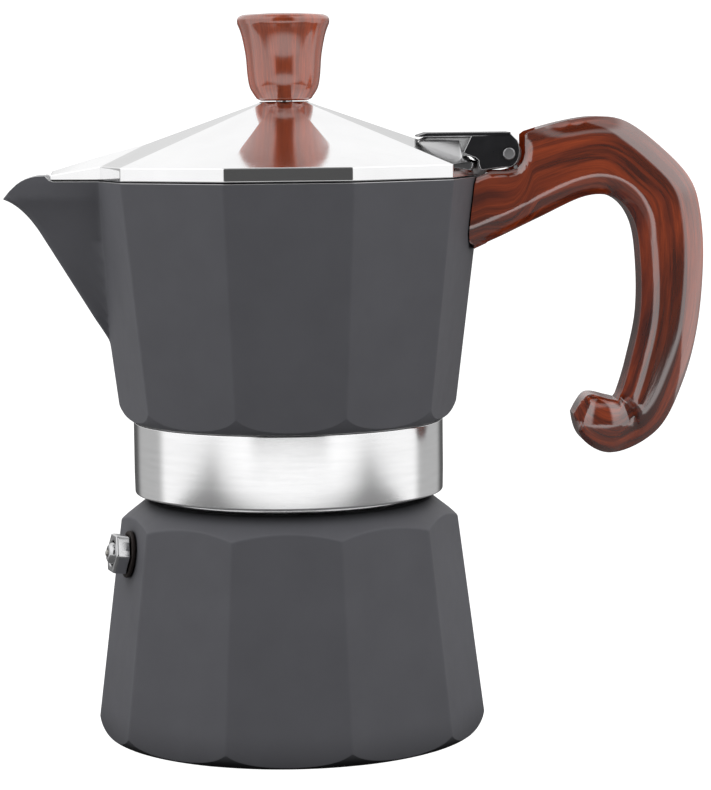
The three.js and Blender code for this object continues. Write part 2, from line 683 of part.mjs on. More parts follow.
function hingeBracket() {
  const plate = slab([
    [31.0, PLATE_BOTTOM_Z], [52.7, PLATE_BOTTOM_Z], [52.7, PLATE_TOP_Z], [33.0, PLATE_TOP_Z],
    [31.0, PLATE_BOTTOM_Z + 0.4],
  ], -CHEEK_OUTER_Y, CHEEK_OUTER_Y);
  const side = [
    [43.4, 141.2], [41.5, 137.1], [44.4, 135.9], [45.1, 135.3], [45.2, 134.2], [45.7, 133.0], [50.5, 133.6],
    [52.6, 133.9], [53.8, 135.1], [54.8, 137.4], [54.4, 139.6], [52.7, 141.6],
  ];
  const nearCheek = slab(side, -CHEEK_OUTER_Y, -CHEEK_INNER_Y);
  const farCheek = slab(side, CHEEK_INNER_Y, CHEEK_OUTER_Y);
  let body = plate.add(nearCheek).add(farCheek);
  const countersink = round(filled([
    [RIVET_R + FINE_GAP, -3], [RIVET_R + FINE_GAP, -0.95],
    [RIVET_HEAD_R + FINE_GAP, -0.05], [RIVET_HEAD_R + FINE_GAP, 1],
  ]), 16);
  for (const x of RIVET_X) {
    body = body.subtract(countersink.translate([x, 0, PLATE_TOP_Z]));
  }
  return body.subtract(rod('y', PIN_HOLE_R, -8, 8, { x: PIN.x, y: 0, z: PIN.z }));
}

// A countersunk rivet, flush with the plate's top face at z = 0.
const rivet = () => round(filled([
  [RIVET_R, -3.4], [RIVET_R, -0.85], [RIVET_HEAD_R, -0.12], [RIVET_HEAD_R, -0.02],
]), 16);

const hingePin = () => round(filled([
  [1.1, -7.0], [1.5, -6.85], [1.5, -6.5], [PIN_R, -6.5], [PIN_R, 6.5], [1.5, 6.5], [1.5, 6.85], [1.1, 7.0],
]), 16);

function knob() {
  const outside = round(filled([
    [5.4, KNOB_BOTTOM_Z], [6.2, 150.2], [7.6, 152.6], [8.2, 155.5], [8.6, 160.3], [9.5, 165.0],
    [10.6, 167.6], [10.8, 168.6], [10.3, 169.4], [8.6, 169.8], [4.0, KNOB_TOP_Z],
  ]), 32);
  return outside.subtract(rod('z', KNOB_BORE_R, KNOB_BOTTOM_Z - 1, KNOB_BORE_TOP_Z, { x: 0, y: 0, z: 0 }));
}

const knobWasher = () => flatRing(2.2, 6.0, 0, 0.8, 24);

// ---------------------------------------------------------------- assembly

function valve() {
  const group = new THREE.Group();
  group.applyMatrix4(valvePlace());
  group.add(piece('valve_body', geometryOf(valveBody()), steel()));
  group.add(piece('valve_washer', geometryOf(valveWasher()), fibre()));
  group.add(piece('valve_pin', geometryOf(valvePin()), brass()));
  group.add(piece('valve_spring', geometryOf(valveSpring()), steel()));
  group.add(piece('valve_cap', geometryOf(valveCap()), steel()));
  return group;
}

function lowerHalf() {
  const group = new THREE.Group();
  group.add(piece('boiler', geometryOf(boiler()), paint()));
  group.add(valve());
  group.add(piece('funnel', geometryOf(funnel()), castAluminium()));
  group.add(piece('funnel_strainer', geometryOf(funnelStrainer()), castAluminium()));
  group.add(piece('gasket', geometryOf(gasket()), rubber()));
  group.add(piece('filter_plate', geometryOf(filterPlate()), castAluminium()));
  return group;
}

function upperHalf() {
  const group = new THREE.Group();
  group.add(piece('collector', geometryOf(collector()), paint()));
  group.add(piece('collar_band', geometryOf(collarBand()), polished()));
  group.add(piece('coffee_column', geometryOf(coffeeColumn()), castAluminium()));
  group.add(piece('handle', geometryOf(handle()), woodPrint()));

  const handleScrew = piece('handle_screw', geometryOf(screw(HANDLE_SCREW_R, 3.6, 2.2, 18.6)), steel());
  handleScrew.position.set(41.2, 0, HANDLE_SCREW_Z);
  handleScrew.rotation.y = Math.PI / 2;
  group.add(handleScrew);

  const pin = piece('hinge_pin', geometryOf(hingePin()), steel());
  pin.position.set(PIN.x, 0, PIN.z);
  pin.rotation.x = Math.PI / 2;
  group.add(pin);
  return group;
}

function lidGroup() {
  const group = new THREE.Group();
  group.add(piece('lid', geometryOf(lid()), polished()));
  group.add(piece('hinge_bracket', geometryOf(hingeBracket()), blackPaint()));
  RIVET_X.forEach((x, i) => {
    const pin = piece(`bracket_rivet_${i + 1}`, geometryOf(rivet()), steel());
    pin.position.set(x, 0, PLATE_TOP_Z);
    group.add(pin);
  });
  group.add(piece('knob', geometryOf(knob()), woodPrint()));

  const washer = piece('knob_washer', geometryOf(knobWasher()), steel());
  washer.position.z = lidTopZ(9) - LID_SHEET - FINE_GAP - 0.8;
  group.add(washer);

  const knobScrew = piece('knob_screw', geometryOf(screw(KNOB_SCREW_R, 3.6, 2.0, 13.6)), steel());
  knobScrew.position.z = washer.position.z - 0.2;
  group.add(knobScrew);
  return group;
}

const pot = new THREE.Group();
pot.name = 'moka_pot';
pot.add(lowerHalf(), upperHalf(), lidGroup());

export default pot;
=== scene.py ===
"""A stovetop moka pot: refined pieces, materials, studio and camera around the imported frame."""
import json
from math import asin, atan2, ceil, cos, degrees, hypot, pi, radians, sin, sqrt, tan

import bmesh
import bpy
import numpy as np
from mathutils import Matrix, Vector


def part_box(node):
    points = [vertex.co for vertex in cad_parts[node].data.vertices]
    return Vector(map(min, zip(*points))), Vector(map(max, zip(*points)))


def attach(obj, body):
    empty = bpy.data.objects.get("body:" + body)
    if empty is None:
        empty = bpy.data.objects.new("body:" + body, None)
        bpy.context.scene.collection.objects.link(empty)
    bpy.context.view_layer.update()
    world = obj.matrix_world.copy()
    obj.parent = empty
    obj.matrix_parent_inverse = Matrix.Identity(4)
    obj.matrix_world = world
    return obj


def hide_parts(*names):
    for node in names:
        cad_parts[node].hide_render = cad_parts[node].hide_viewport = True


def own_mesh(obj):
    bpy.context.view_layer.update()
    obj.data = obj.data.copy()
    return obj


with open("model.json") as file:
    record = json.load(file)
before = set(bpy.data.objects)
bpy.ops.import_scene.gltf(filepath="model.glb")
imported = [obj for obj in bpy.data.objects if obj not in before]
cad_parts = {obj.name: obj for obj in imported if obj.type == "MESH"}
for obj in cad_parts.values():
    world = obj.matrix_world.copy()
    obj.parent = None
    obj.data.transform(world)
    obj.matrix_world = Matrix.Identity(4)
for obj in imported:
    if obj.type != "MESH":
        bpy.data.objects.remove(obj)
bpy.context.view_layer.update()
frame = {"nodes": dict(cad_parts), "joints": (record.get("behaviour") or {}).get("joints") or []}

# ---- driving sizes, in millimetres

MM = 0.001
SIDES = 10
SECTOR = 2 * pi / SIDES


def low(node):
    """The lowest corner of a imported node."""
    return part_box(node)[0] / MM


def high(node):
    """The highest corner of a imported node."""
    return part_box(node)[1] / MM


# Boiler
BOILER_TURN = radians(-2)
BOILER_BASE_R = 46.6
BOILER_TOP_R = 40.0
BOILER_TOP_Z = 51.8
BOILER_FLOOR_Z = 3.6
SHOULDER = ((48.2, 44.8), (33.5, 56.3))
NECK_TOP_Z = high("boiler").z
NECK_R = 31.0
NECK_BORE_R = 28.3
THREAD_PITCH = 3.0

# Safety valve, along its own axis
VALVE_Z = 44.5
VALVE_SHANK_R, VALVE_BORE_R, VALVE_INLET_R = 3.9, 2.9, 1.2
VALVE_HEX_R, VALVE_CORNER_R = 4.4, 5.0
VALVE_INNER_END, VALVE_SEAT, VALVE_OUTER_END = -6.0, -4.8, 4.6

# Collector
COLLAR_R = high("collar_band").x
COLLAR_LOW_Z = low("collar_band").z
SKIRT_R = 35.3
SKIRT_BORE_R = 32.6
SKIRT_LOW_Z = low("collector").z
SEAT_Z = 71.4
FLOOR_Z = 75.6
COLUMN_HOLE_R = 5.3
JUG_LOW_R = 40.0
JUG_LOW_Z = 78.5
JUG_BOTTOM_Z = 75.1
RIM_R = 46.6
RIM_Z = 131.6
JUG_WALL = 2.8
SPOUT_FOOT_Z = 94.0
SPOUT_ROOT = 38.0
SPOUT_HALF_WIDTH = 12.7
LIP_HALF_WIDTH = 3.3
SPOUT_REACH = 0.4  # radians to each side of -X

# Lid
LID_R = 46.4
LID_LOW_Z = low("lid").z
LID_BAND_Z = 135.0
LID_SLOPE = 0.3528
LID_TOP_R = 5.7
LID_SHEET = 1.3
LID_BAND_WALL = 2.1
COVER_END = -low("lid").x
COVER_STATIONS = ((32.0, 140.0, 13.0, 137.2), (43.0, 137.3, 11.0, 135.0), (COVER_END, 133.8, 6.8, 133.0))
NOTCH_X = 43.4
NOTCH_HALF_WIDTH = 4.0

# Hinge
JOINTS = {joint["name"]: joint for joint in frame["joints"]}
PIN_X, _, PIN_Z = (at / MM for at in JOINTS["lid_hinge"]["pos_m"])
CHEEK_HALF, CHEEK_SHEET = 6.2, 1.0
SADDLE_TOP_Z = 140.95


# ---- small helpers for lines and surfaces

def mix(a, b, share):
    return a + (b - a) * share


def soft_min(a, b, k):
    return min(a, b) - max(k - abs(a - b), 0) ** 2 / (4 * k)


def soft_max(a, b, k):
    return -soft_min(-a, -b, k)


def smooth(share):
    share = min(max(share, 0.0), 1.0)
    return share * share * (3 - 2 * share)


def ten_sided(corner_r, theta, soft=0.3):
    """Distance from the axis to a ten-sided wall whose creases are a little round."""
    half = SECTOR / 2
    apothem = corner_r * cos(half)
    past = theta % SECTOR
    own, before, after = (apothem / cos(past - half * k) for k in (1, -1, 3))
    return soft_min(soft_min(own, before, soft), after, soft)


def bezier(start, pull, end, count):
    """Points on a curve that leaves start towards pull and arrives at end from it."""
    start, pull, end = (np.array(p, float) for p in (start, pull, end))
    shares = np.linspace(0, 1, count)[:, None]
    return (1 - shares) ** 2 * start + 2 * shares * (1 - shares) * pull + shares ** 2 * end


def spline(points, per_span):
    """A Catmull-Rom curve through the points."""
    p = np.array([points[0], *points, points[-1]], float)
    line = []
    for i in range(1, len(p) - 2):
        for share in np.linspace(0, 1, per_span, endpoint=False):
            a = 2 * p[i] + (p[i + 1] - p[i - 1]) * share
            b = (2 * p[i - 1] - 5 * p[i] + 4 * p[i + 1] - p[i + 2]) * share ** 2
            c = (3 * p[i] - p[i - 1] - 3 * p[i + 1] + p[i + 2]) * share ** 3
            line.append((a + b + c) / 2)
    return np.array([*line, p[-1]])


def filleted(corners, closed=False, steps=5):
    """(r, z, tag) points along corners (r, z, fillet, tag), each corner with a fillet turned into a curve."""
    line = []
    count = len(corners)
    for i, (r, z, size, tag) in enumerate(corners):
        at_end = not closed and i in (0, count - 1)
        if size == 0 or at_end:
            line.append((r, z, tag))
            continue
        here = np.array((r, z))
        before = np.array(corners[i - 1][:2]) - here
        after = np.array(corners[(i + 1) % count][:2]) - here
        reach = [min(size, 0.48 * max(np.linalg.norm(v), 1e-6)) for v in (before, after)]
        start = here + before / max(np.linalg.norm(before), 1e-6) * reach[0]
        end = here + after / max(np.linalg.norm(after), 1e-6) * reach[1]
        line.extend((p[0], p[1], tag) for p in bezier(start, here, end, steps))
    return line


def first_crossing(gap, start, end):
    """Where gap, a rising function, passes zero between start and end."""
    for _ in range(40):
        middle = (start + end) / 2
        start, end = (start, middle) if gap(middle) > 0 else (middle, end)
    return (start + end) / 2


def crease_angles(turn=0.0, extra=()):
    """Column angles round a ten-sided wall, in radians, close together at its creases."""
    near = (0.15, 0.3, 0.5, 0.8, 1.4, 2.4)
    offsets = [0, *near, *range(4, 33, 2), *(36 - n for n in near)]
    whole = {round((k * 36 + o) % 360, 4) for k in range(SIDES) for o in offsets}
    whole |= {round(a % 360, 4) for a in extra}
    return [radians(a) + turn for a in sorted(whole)]


def even_angles(count):
    return [2 * pi * i / count for i in range(count)]


# ---- from numbers to pieces

def new_piece(name, vertices, faces, tags, materials, body, replaced=()):
    """A mesh piece in millimetres, its normals outward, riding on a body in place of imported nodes."""
    mesh = bpy.data.meshes.new(name)
    mesh.from_pydata([Vector(v) * MM for v in vertices], [], faces)
    for polygon, tag in zip(mesh.polygons, tags):
        polygon.material_index = tag
        polygon.use_smooth = True
    shape = bmesh.new()
    shape.from_mesh(mesh)
    bmesh.ops.recalc_face_normals(shape, faces=shape.faces)
    shape.to_mesh(mesh)
    shape.free()
    for material in materials:
        mesh.materials.append(material)
    piece = bpy.data.objects.new(name, mesh)
    bpy.context.scene.collection.objects.link(piece)
    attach(piece, body)
    if replaced:
        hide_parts(*replaced)
    return piece


def skin(name, column, angles, materials, body, replaced=(), closed=True, place=None):
    """A skin round the Z axis. column(angle) is a line of (r, z, tag) points; closed joins its ends."""
    vertices, lines, tags = [], [], None
    poles = {}
    for angle in angles:
        line = []
        points = column(angle)
        tags = tags or [p[2] for p in points]
        for k, (r, z, _) in enumerate(points):
            if r < 1e-6 and k in poles:
                line.append(poles[k])
                continue
            if r < 1e-6:
                poles[k] = len(vertices)
            line.append(len(vertices))
            vertices.append((r * cos(angle), r * sin(angle), z))
        lines.append(line)
    faces, face_tags = [], []
    rows = len(tags) if closed else len(tags) - 1
    for here, there in zip(lines, lines[1:] + lines[:1]):
        for k in range(rows):
            up = (k + 1) % len(tags)
            face = list(dict.fromkeys((here[k], there[k], there[up], here[up])))
            if len(face) > 2:
                faces.append(face)
                face_tags.append(tags[k])
    if place is not None:
        vertices = [place @ Vector(v) for v in vertices]
    return new_piece(name, vertices, faces, face_tags, materials, body, replaced)


def lathe(name, corners, material, body, replaced=(), closed=True, count=128, place=None):
    """A turned piece. corners are (r, z, fillet)."""
    line = filleted([(*c, 0) for c in corners], closed)
    piece = skin(name, lambda _: line, even_angles(count), [material], body, replaced, closed, place)
    return weigh_normals(piece)


def weigh_normals(piece):
    """Keeps flat faces flat in shading, so that only the rounded edges catch the light."""
    modifier = piece.modifiers.new("flat_faces", "WEIGHTED_NORMAL")
    modifier.keep_sharp = True
    modifier.weight = 90
    return piece


def bevelled(name, solids, size, materials, body, replaced=(), edge_material=-1):
    """One piece from closed solids (vertices, faces) in millimetres, with rounded edges."""
    vertices, faces = [], []
    for points, sides in solids:
        start = len(vertices)
        vertices += points
        faces += [[start + i for i in side] for side in sides]
    piece = new_piece(name, vertices, faces, [0] * len(faces), materials, body, replaced)
    bevel = piece.modifiers.new("edges", "BEVEL")
    bevel.width = size * MM
    bevel.segments = 3
    bevel.limit_method = "ANGLE"
    bevel.angle_limit = radians(25)
    bevel.material = edge_material
    bevel.harden_normals = True
    return piece


def slab(outline, near, far):
    """A closed solid from an outline in X and Z, thick in Y."""
    count = len(outline)
    points = [(x, y, z) for y in (near, far) for x, z in outline]
    sides = [[i, (i + 1) % count, count + (i + 1) % count, count + i] for i in range(count)]
    return points, [*sides, list(range(count))[::-1], list(range(count, 2 * count))]


# ---- node materials

class Painter:
    """Builds one node material: a Principled shader and the procedural textures that feed it."""

    def __init__(self, name, colour, **sockets):
        self.material = bpy.data.materials.new(name)
        self.material.use_nodes = True
        self.material.diffuse_color = (*colour, 1)
        self.tree = self.material.node_tree
        self.shader = self.tree.nodes["Principled BSDF"]
        self.shader.inputs["Base Color"].default_value = (*colour, 1)
        for socket, value in sockets.items():
            self.shader.inputs[socket.replace("_", " ")].default_value = value

    def add(self, kind, settings=(), **inputs):
        node = self.tree.nodes.new(kind)
        for key, value in dict(settings).items():
            setattr(node, key, value)
        for key, value in inputs.items():
            self.feed(node, key.replace("_", " "), value)
        return node

    def feed(self, node, socket, value):
        """Sets a socket to a number, or links it to another node's first output."""
        target = node.inputs[int(socket)] if socket.isdigit() else node.inputs[socket]
        if isinstance(value, bpy.types.Node):
            value = value.outputs[0]
        if isinstance(value, bpy.types.NodeSocket):
            self.tree.links.new(value, target)
        else:
            target.default_value = value

    def where(self, scale=(1, 1, 1)):
        """Object coordinates, stretched by scale."""
        source = self.add("ShaderNodeTexCoord").outputs["Object"]
        mapping = self.add("ShaderNodeMapping", Vector=source)
        mapping.inputs["Scale"].default_value = scale
        return mapping

    def finish(self, **feeds):
        """Feeds the shader's sockets and hands over the material."""
        for socket, value in feeds.items():
            self.feed(self.shader, socket.replace("_", " "), value)
        return self.material

    def noise(self, vector, scale, detail=3.0, roughness=0.55, distortion=0.0):
        return self.add("ShaderNodeTexNoise", Vector=vector, Scale=scale, Detail=detail,
                        Roughness=roughness, Distortion=distortion)

    def ramp(self, value, stops):
        """A colour ramp; stops are (position, colour)."""
        node = self.add("ShaderNodeValToRGB", Fac=value)
        elements = node.color_ramp.elements
        while len(elements) < len(stops):
            elements.new(0.5)
        for element, (position, colour) in zip(elements, stops):
            element.position = position
            element.color = (*colour, 1)
        return node

    def between(self, value, low_value, high_value):
        """Spreads a 0 to 1 value over a range."""
        return self.add("ShaderNodeMapRange", Value=value, To_Min=low_value, To_Max=high_value)

    def times(self, first, second):
        return self.add("ShaderNodeMath", {"operation": "MULTIPLY"}, **{"0": first, "1": second})

    def blend(self, share, first, second, mode="MIX"):
        node = self.add("ShaderNodeMix", {"data_type": "RGBA", "blend_type": mode})
        for index, value in ((0, share), (6, first), (7, second)):
            if isinstance(value, tuple):
                value = (*value, 1)
            self.feed(node, str(index), value)
        return node.outputs[2]

    def bump(self, height, strength, depth, below=None):
        """A bump whose full height is depth millimetres."""
        node = self.add("ShaderNodeBump", Height=height, Strength=strength, Distance=depth * MM)
        if below is not None:
            self.feed(node, "Normal", below)
        return node

    def shade(self, reach):
        """Below 1 where something within reach millimetres keeps the light off; it paints that shade into a
        colour.
        """
        open_side = self.add("ShaderNodeAmbientOcclusion", Distance=reach * MM)
        return self.add("ShaderNodeMapRange", Value=open_side.outputs["AO"], From_Min=0.25, From_Max=0.92,
                        To_Min=0.12, To_Max=1.0)

    def wear(self, around, strength):
        """A 0 to 1 mask that is high on convex edges, where a painted highlight is laid into the colour."""
        edge = self.add("ShaderNodeNewGeometry").outputs["Pointiness"]
        spread = self.add("ShaderNodeMapRange", Value=edge, From_Min=0.5 + around, From_Max=0.5 + 3 * around)
        return self.times(spread, strength)


def toned(colour, share):
    return tuple(channel * share for channel in colour)


def paint_material(name, colour, roughness):
    """Satin paint: faint mottling, a fine orange peel, a painted highlight along convex edges, and painted
    shade where a piece is close.
    """
    p = Painter(name, colour, Specular_IOR_Level=0.12)
    tone = p.ramp(p.noise(p.where(), 90, 4), ((0.3, toned(colour, 0.96)), (0.7, toned(colour, 1.04))))
    # Convex edges lightened towards 1.5 times the paint colour: a painted highlight along the facet creases.
    edge_highlighted = p.blend(p.wear(0.01, 0.25), tone, toned(colour, 1.5))
    return p.finish(
        # The base colour is multiplied by painted shade, darkest where a close piece such as the collar
        # overhangs the paint.
        Base_Color=p.blend(1.0, edge_highlighted, p.shade(12), "MULTIPLY"),
        Roughness=p.between(p.noise(p.where(), 240, 2), roughness - 0.05, roughness + 0.05),
        Normal=p.bump(p.noise(p.where(), 2600, 2), 0.5, 0.02))


def metal_material(name, colour, roughness, scale=(1, 1, 1), spread=0.05, depth=0.003, bump_scale=1500):
    """Bare metal: tone and roughness drift slowly, and a fine bump follows the finish."""
    p = Painter(name, colour, Metallic=1.0)
    lines = p.noise(p.where(scale), 420, 4, 0.7)
    return p.finish(
        Base_Color=p.ramp(p.noise(p.where(scale), 60, 5), ((0.3, toned(colour, 0.94)), (0.7, colour))),
        Roughness=p.between(lines, max(roughness - spread, 0.02), roughness + spread),
        Normal=p.bump(p.noise(p.where(scale), bump_scale, 3), 0.6, depth))


def cast_material(name, colour, roughness):
    """Die-cast aluminium, tumbled: a pebbled skin with soft blotches."""
    p = Painter(name, colour, Metallic=1.0)
    blotch = p.noise(p.where(), 130, 6, 0.6)
    coarse = p.bump(p.noise(p.where(), 900, 3), 0.5, 0.03)
    return p.finish(
        Base_Color=p.ramp(blotch, ((0.25, toned(colour, 0.8)), (0.75, colour))),
        Roughness=p.between(p.noise(p.where(), 700, 4), roughness - 0.08, roughness + 0.1),
        Normal=p.bump(p.noise(p.where(), 4200, 2), 0.5, 0.01, coarse))


def wood_material(name, streaks, coat_roughness, coat_ior):
    """Glossy wood print: dark and orange-red streaks run along the grain attribute, under a clear coat."""
    p = Painter(name, (0.4, 0.06, 0.02), Coat_Weight=1.0, Coat_Roughness=coat_roughness,
                Coat_IOR=coat_ior, Specular_IOR_Level=0.1)
    grain = p.add("ShaderNodeAttribute", {"attribute_name": "grain"}).outputs["Vector"]

    def streaky(scale, offset, *settings):
        place = p.add("ShaderNodeMapping", Vector=grain)
        place.inputs["Scale"].default_value = scale
        place.inputs["Location"].default_value = offset
        return p.noise(place, 1.0, *settings)

    tone = p.ramp(streaky((0.014, 0.2, 0.1), (3.1, 0.4, 0), 3, 0.5, 0.5), (
        (0.30, (0.06, 0.009, 0.004)), (0.40, (0.2, 0.026, 0.006)), (0.48, (0.42, 0.056, 0.009)),
        (0.56, (0.56, 0.08, 0.014)), (0.64, (0.28, 0.036, 0.008)), (0.74, (0.48, 0.068, 0.012)),
    ))
    streak = streaky((0.02, 0.42, 0.3), (0, 1.7, 0), 4, 0.6, 0.5)
    dark = p.ramp(streak, ((0.42, (0.14, 0.11, 0.11)), (0.55, (1, 1, 1))))
    hatch = streaky((0.16, 3.2, 1.4), (0, 0, 0), 5, 0.7, 0.3)
    fine = p.ramp(hatch, ((0.3, (0.62, 0.6, 0.58)), (0.7, (1.12, 1.1, 1.08))))
    streaked = p.blend(0.8, tone.outputs[0], dark.outputs[0], "MULTIPLY")
    tinted = p.blend(streaks, (0.66, 0.11, 0.025), streaked)
    return p.finish(
        Base_Color=p.blend(0.85, tinted, fine.outputs[0], "MULTIPLY"),
        Roughness=p.between(hatch, 0.26, 0.42),
        Normal=p.bump(hatch, 0.35, 0.05),
        Coat_Normal=p.bump(streaky((0.1, 0.9, 0.6), (5, 0, 0), 3), 0.3, 0.06))


def gloss_black_material():
    """Black enamel with a thin clear coat and a trace of orange peel."""
    p = Painter("black_paint", (0.011, 0.011, 0.013), Coat_Weight=0.6, Coat_Roughness=0.14)
    tone = p.noise(p.where(), 160, 4)
    return p.finish(
        Base_Color=p.ramp(tone, ((0.3, (0.008, 0.008, 0.01)), (0.7, (0.016, 0.016, 0.019)))),
        Roughness=p.between(p.noise(p.where(), 500, 3), 0.22, 0.4),
        Normal=p.bump(p.noise(p.where(), 1600, 2), 0.4, 0.02))


def soft_material(name, colour, roughness, scale, depth):
    """Silicone or pressed fibre: matt, with a visible texture."""
    p = Painter(name, colour, Specular_IOR_Level=0.3)
    tone = p.noise(p.where(), scale / 6, 5, 0.65)
    return p.finish(
        Base_Color=p.ramp(tone, ((0.3, toned(colour, 0.78)), (0.7, colour))),
        Roughness=p.between(tone, roughness - 0.08, roughness + 0.08),
        Normal=p.bump(p.noise(p.where(), scale, 3), 0.6, depth))


GREY_PAINT = paint_material("grey_paint", (0.147, 0.148, 0.163), 0.5)
POLISHED = metal_material("polished_aluminium", (0.96, 0.96, 0.965), 0.1, spread=0.03, depth=0.0012)
COLLAR = metal_material("collar_aluminium", (0.96, 0.96, 0.965), 0.15, (1, 1, 14), 0.03, 0.002)
CAST = cast_material("cast_aluminium", (0.72, 0.72, 0.73), 0.36)
TURNED = metal_material("turned_aluminium", (0.78, 0.78, 0.79), 0.26, (1, 1, 10), 0.08, 0.006, 900)
SATIN = metal_material("satin_aluminium", (0.95, 0.95, 0.955), 0.42, spread=0.08, depth=0.01, bump_scale=900)
PIN_STEEL = metal_material("pin_steel", (0.4, 0.4, 0.41), 0.38, spread=0.06)
PLATED = metal_material("plated_steel", (0.62, 0.62, 0.63), 0.16, spread=0.05)
SPRING = metal_material("spring_steel", (0.6, 0.6, 0.62), 0.25, (1, 1, 3), 0.08, 0.004)
BRASS = metal_material("nickelled_brass", (0.5, 0.485, 0.45), 0.24, (1, 1, 6), 0.08, 0.004)
BLACK = gloss_black_material()
SILICONE = soft_material("silicone", (0.72, 0.72, 0.68), 0.55, 2400, 0.02)
FIBRE = soft_material("fibre", (0.03, 0.022, 0.02), 0.7, 3000, 0.05)
WOOD = wood_material("wood_print", 0.94, 0.08, 2.4)
KNOB_WOOD = wood_material("wood_print_plain", 0.5, 0.14, 2.15)

# ---- threads

def thread_height(z, theta, start_z, turns, half_root, half_crest):
    """Share of the full thread depth at a height and angle, for one right-handed start."""
    best = 0.0
    for turn in range(ceil(turns) + 1):
        along = theta % (2 * pi) / (2 * pi) + turn
        ends = smooth(along / 0.12) * smooth((turns - along) / 0.12)
        away = abs(z - start_z - THREAD_PITCH * along)
        best = max(best, ends * min(max((half_root - away) / (half_root - half_crest), 0), 1))
    return best


# ---- boiler

BOILER_FOOT = spline([(42.2, 0.0), (43.6, 0.4), (44.8, 1.3), (45.7, 2.6), (46.3, 4.6), (46.9, 8.0)], 8)


def boiler_radius(z, theta):
    corner_r = mix(BOILER_BASE_R, BOILER_TOP_R, z / BOILER_TOP_Z)
    return ten_sided(corner_r, theta - BOILER_TURN)


def boiler_column(theta):
    """From the middle of the base, up the painted facet and shoulder, over the neck and down inside."""
    foot_r, foot_z = BOILER_FOOT[:, 0], BOILER_FOOT[:, 1]
    (wide, low_z), (narrow, high_z) = SHOULDER
    meet = first_crossing(lambda z: np.interp(z, foot_z, foot_r) - boiler_radius(z, theta), 0.0, 8.0)
    edge = first_crossing(
        lambda z: boiler_radius(z, theta) - mix(wide, narrow, (z - low_z) / (high_z - low_z)), low_z, high_z)
    corners = [(0, 0.8, 0, 1), (24, 0.8, 0, 1), (37.2, 0.7, 0.8, 1), (38.0, 0.0, 0.8, 1), (41.6, 0.0, 0, 0)]
    corners += [(np.interp(z, foot_z, foot_r), z, 0, 0) for z in np.linspace(0.02, meet * 0.97, 9)]
    corners.append((boiler_radius(meet, theta), meet, 0.35, 0))
    corners += [(boiler_radius(z, theta), z, 0, 0) for z in np.linspace(meet + 1.2, edge - 0.8, 7)]
    corners.append((boiler_radius(edge, theta), edge, 0.4, 0))
    edge_r = boiler_radius(edge, theta)
    corners += [(mix(edge_r, narrow, share), mix(edge, high_z, share), 0, 0) for share in (0.25, 0.5, 0.75)]
    corners += [(narrow, high_z, 0.5, 0), (NECK_R, high_z + 0.2, 0.4, 1)]
    for z in np.linspace(57.4, 64.8, 34):
        rise = thread_height(z, theta, 58.6, 1.75, 1.1, 0.35)
        corners.append((NECK_R + 1.2 * rise, z, 0, 1))
    corners += [(NECK_R, NECK_TOP_Z - 0.8, 0.3, 1), (NECK_R - 0.8, NECK_TOP_Z, 0.3, 1)]
    corners += [(NECK_BORE_R, NECK_TOP_Z, 0.5, 1), (NECK_BORE_R, high_z, 1.5, 1)]
    corners += [(35.2, BOILER_TOP_Z - 3, 2.0, 1), (38.0, 26.0, 0, 1), (40.8, 7.6, 3, 1)]
    corners += [(r, BOILER_FLOOR_Z, fillet, 1) for r, fillet in ((36.8, 2.0), (20, 0), (0, 0))]
    return filleted(corners)


def make_boiler():
    boiler = skin("boiler_shell", boiler_column, crease_angles(BOILER_TURN), [GREY_PAINT, TURNED],
                  "boiler", ["boiler"], closed=False)
    weigh_normals(boiler)


# ---- safety valve, in its own frame

def valve_place():
    """The valve's frame: +Z points out of the wall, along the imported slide's axis."""
    out = Vector(JOINTS["valve_lift"]["axis"]).normalized()
    apothem = mix(BOILER_BASE_R, BOILER_TOP_R, VALVE_Z / BOILER_TOP_Z) * cos(SECTOR / 2)
    flat = Vector((out.x, out.y, 0)).normalized()
    place = Matrix.Translation(flat * apothem + Vector((0, 0, VALVE_Z)))
    return place @ out.to_track_quat("Z", "Y").to_matrix().to_4x4()


def make_valve_body(place):
    """A shank with a hexagonal head, bored for the spring and drilled through to the boiler."""
    line = filleted([
        (VALVE_INLET_R, VALVE_INNER_END, 0, 0), (VALVE_SHANK_R, VALVE_INNER_END, 0.4, 0),
        (VALVE_SHANK_R, 0.2, 0, 0), (VALVE_SHANK_R, 1.38, 0, 0), (VALVE_HEX_R, 1.4, 0.2, 0),
        (VALVE_HEX_R, 4.2, 0.25, 0), (4.2, VALVE_OUTER_END, 0.2, 0), (3.1, VALVE_OUTER_END, 0.2, 0),
        (VALVE_BORE_R, 4.3, 0, 0), (VALVE_BORE_R, VALVE_SEAT, 0, 0), (VALVE_INLET_R, VALVE_SEAT, 0, 0),
    ], True)

    def column(theta):
        """The line, stretched to six flat sides where it is wider than the shank."""
        stretch = 1 / cos(theta % (pi / 3) - pi / 6)
        return [(soft_min(r * stretch, VALVE_CORNER_R, 0.2) if r > VALVE_SHANK_R + 0.15 else r, z, 0)
                for r, z, _ in line]

    body = skin("valve_hexagon", column, even_angles(144), [PLATED], "boiler",
                ["valve_body"], place=place)
    weigh_normals(body)


def make_spring(place):
    """A closed helical wire between the pin's head and the cap."""
    coil_r, wire_r, turns, per_turn, sides = 1.7, 0.28, 4, 28, 10
    foot, end = -3.1, 2.9
    steps = turns * per_turn
    vertices = []
    for i in range(steps + 1):
        angle, height = 2 * pi * i / per_turn, mix(foot, end, i / steps)
        for around in even_angles(sides):
            r, z = coil_r + wire_r * cos(around), height + wire_r * sin(around)
            vertices.append(place @ Vector((r * cos(angle), r * sin(angle), z)))
    faces = []
    for low_ring in range(0, steps * sides, sides):
        for j in range(sides):
            k = (j + 1) % sides
            faces.append([low_ring + j, low_ring + k, low_ring + sides + k, low_ring + sides + j])
    faces += [list(range(sides)), list(range(steps * sides, (steps + 1) * sides))]
    coil = new_piece("valve_coil", vertices, faces, [0] * len(faces), [SPRING], "boiler",
                     ["valve_spring"])
    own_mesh(coil)


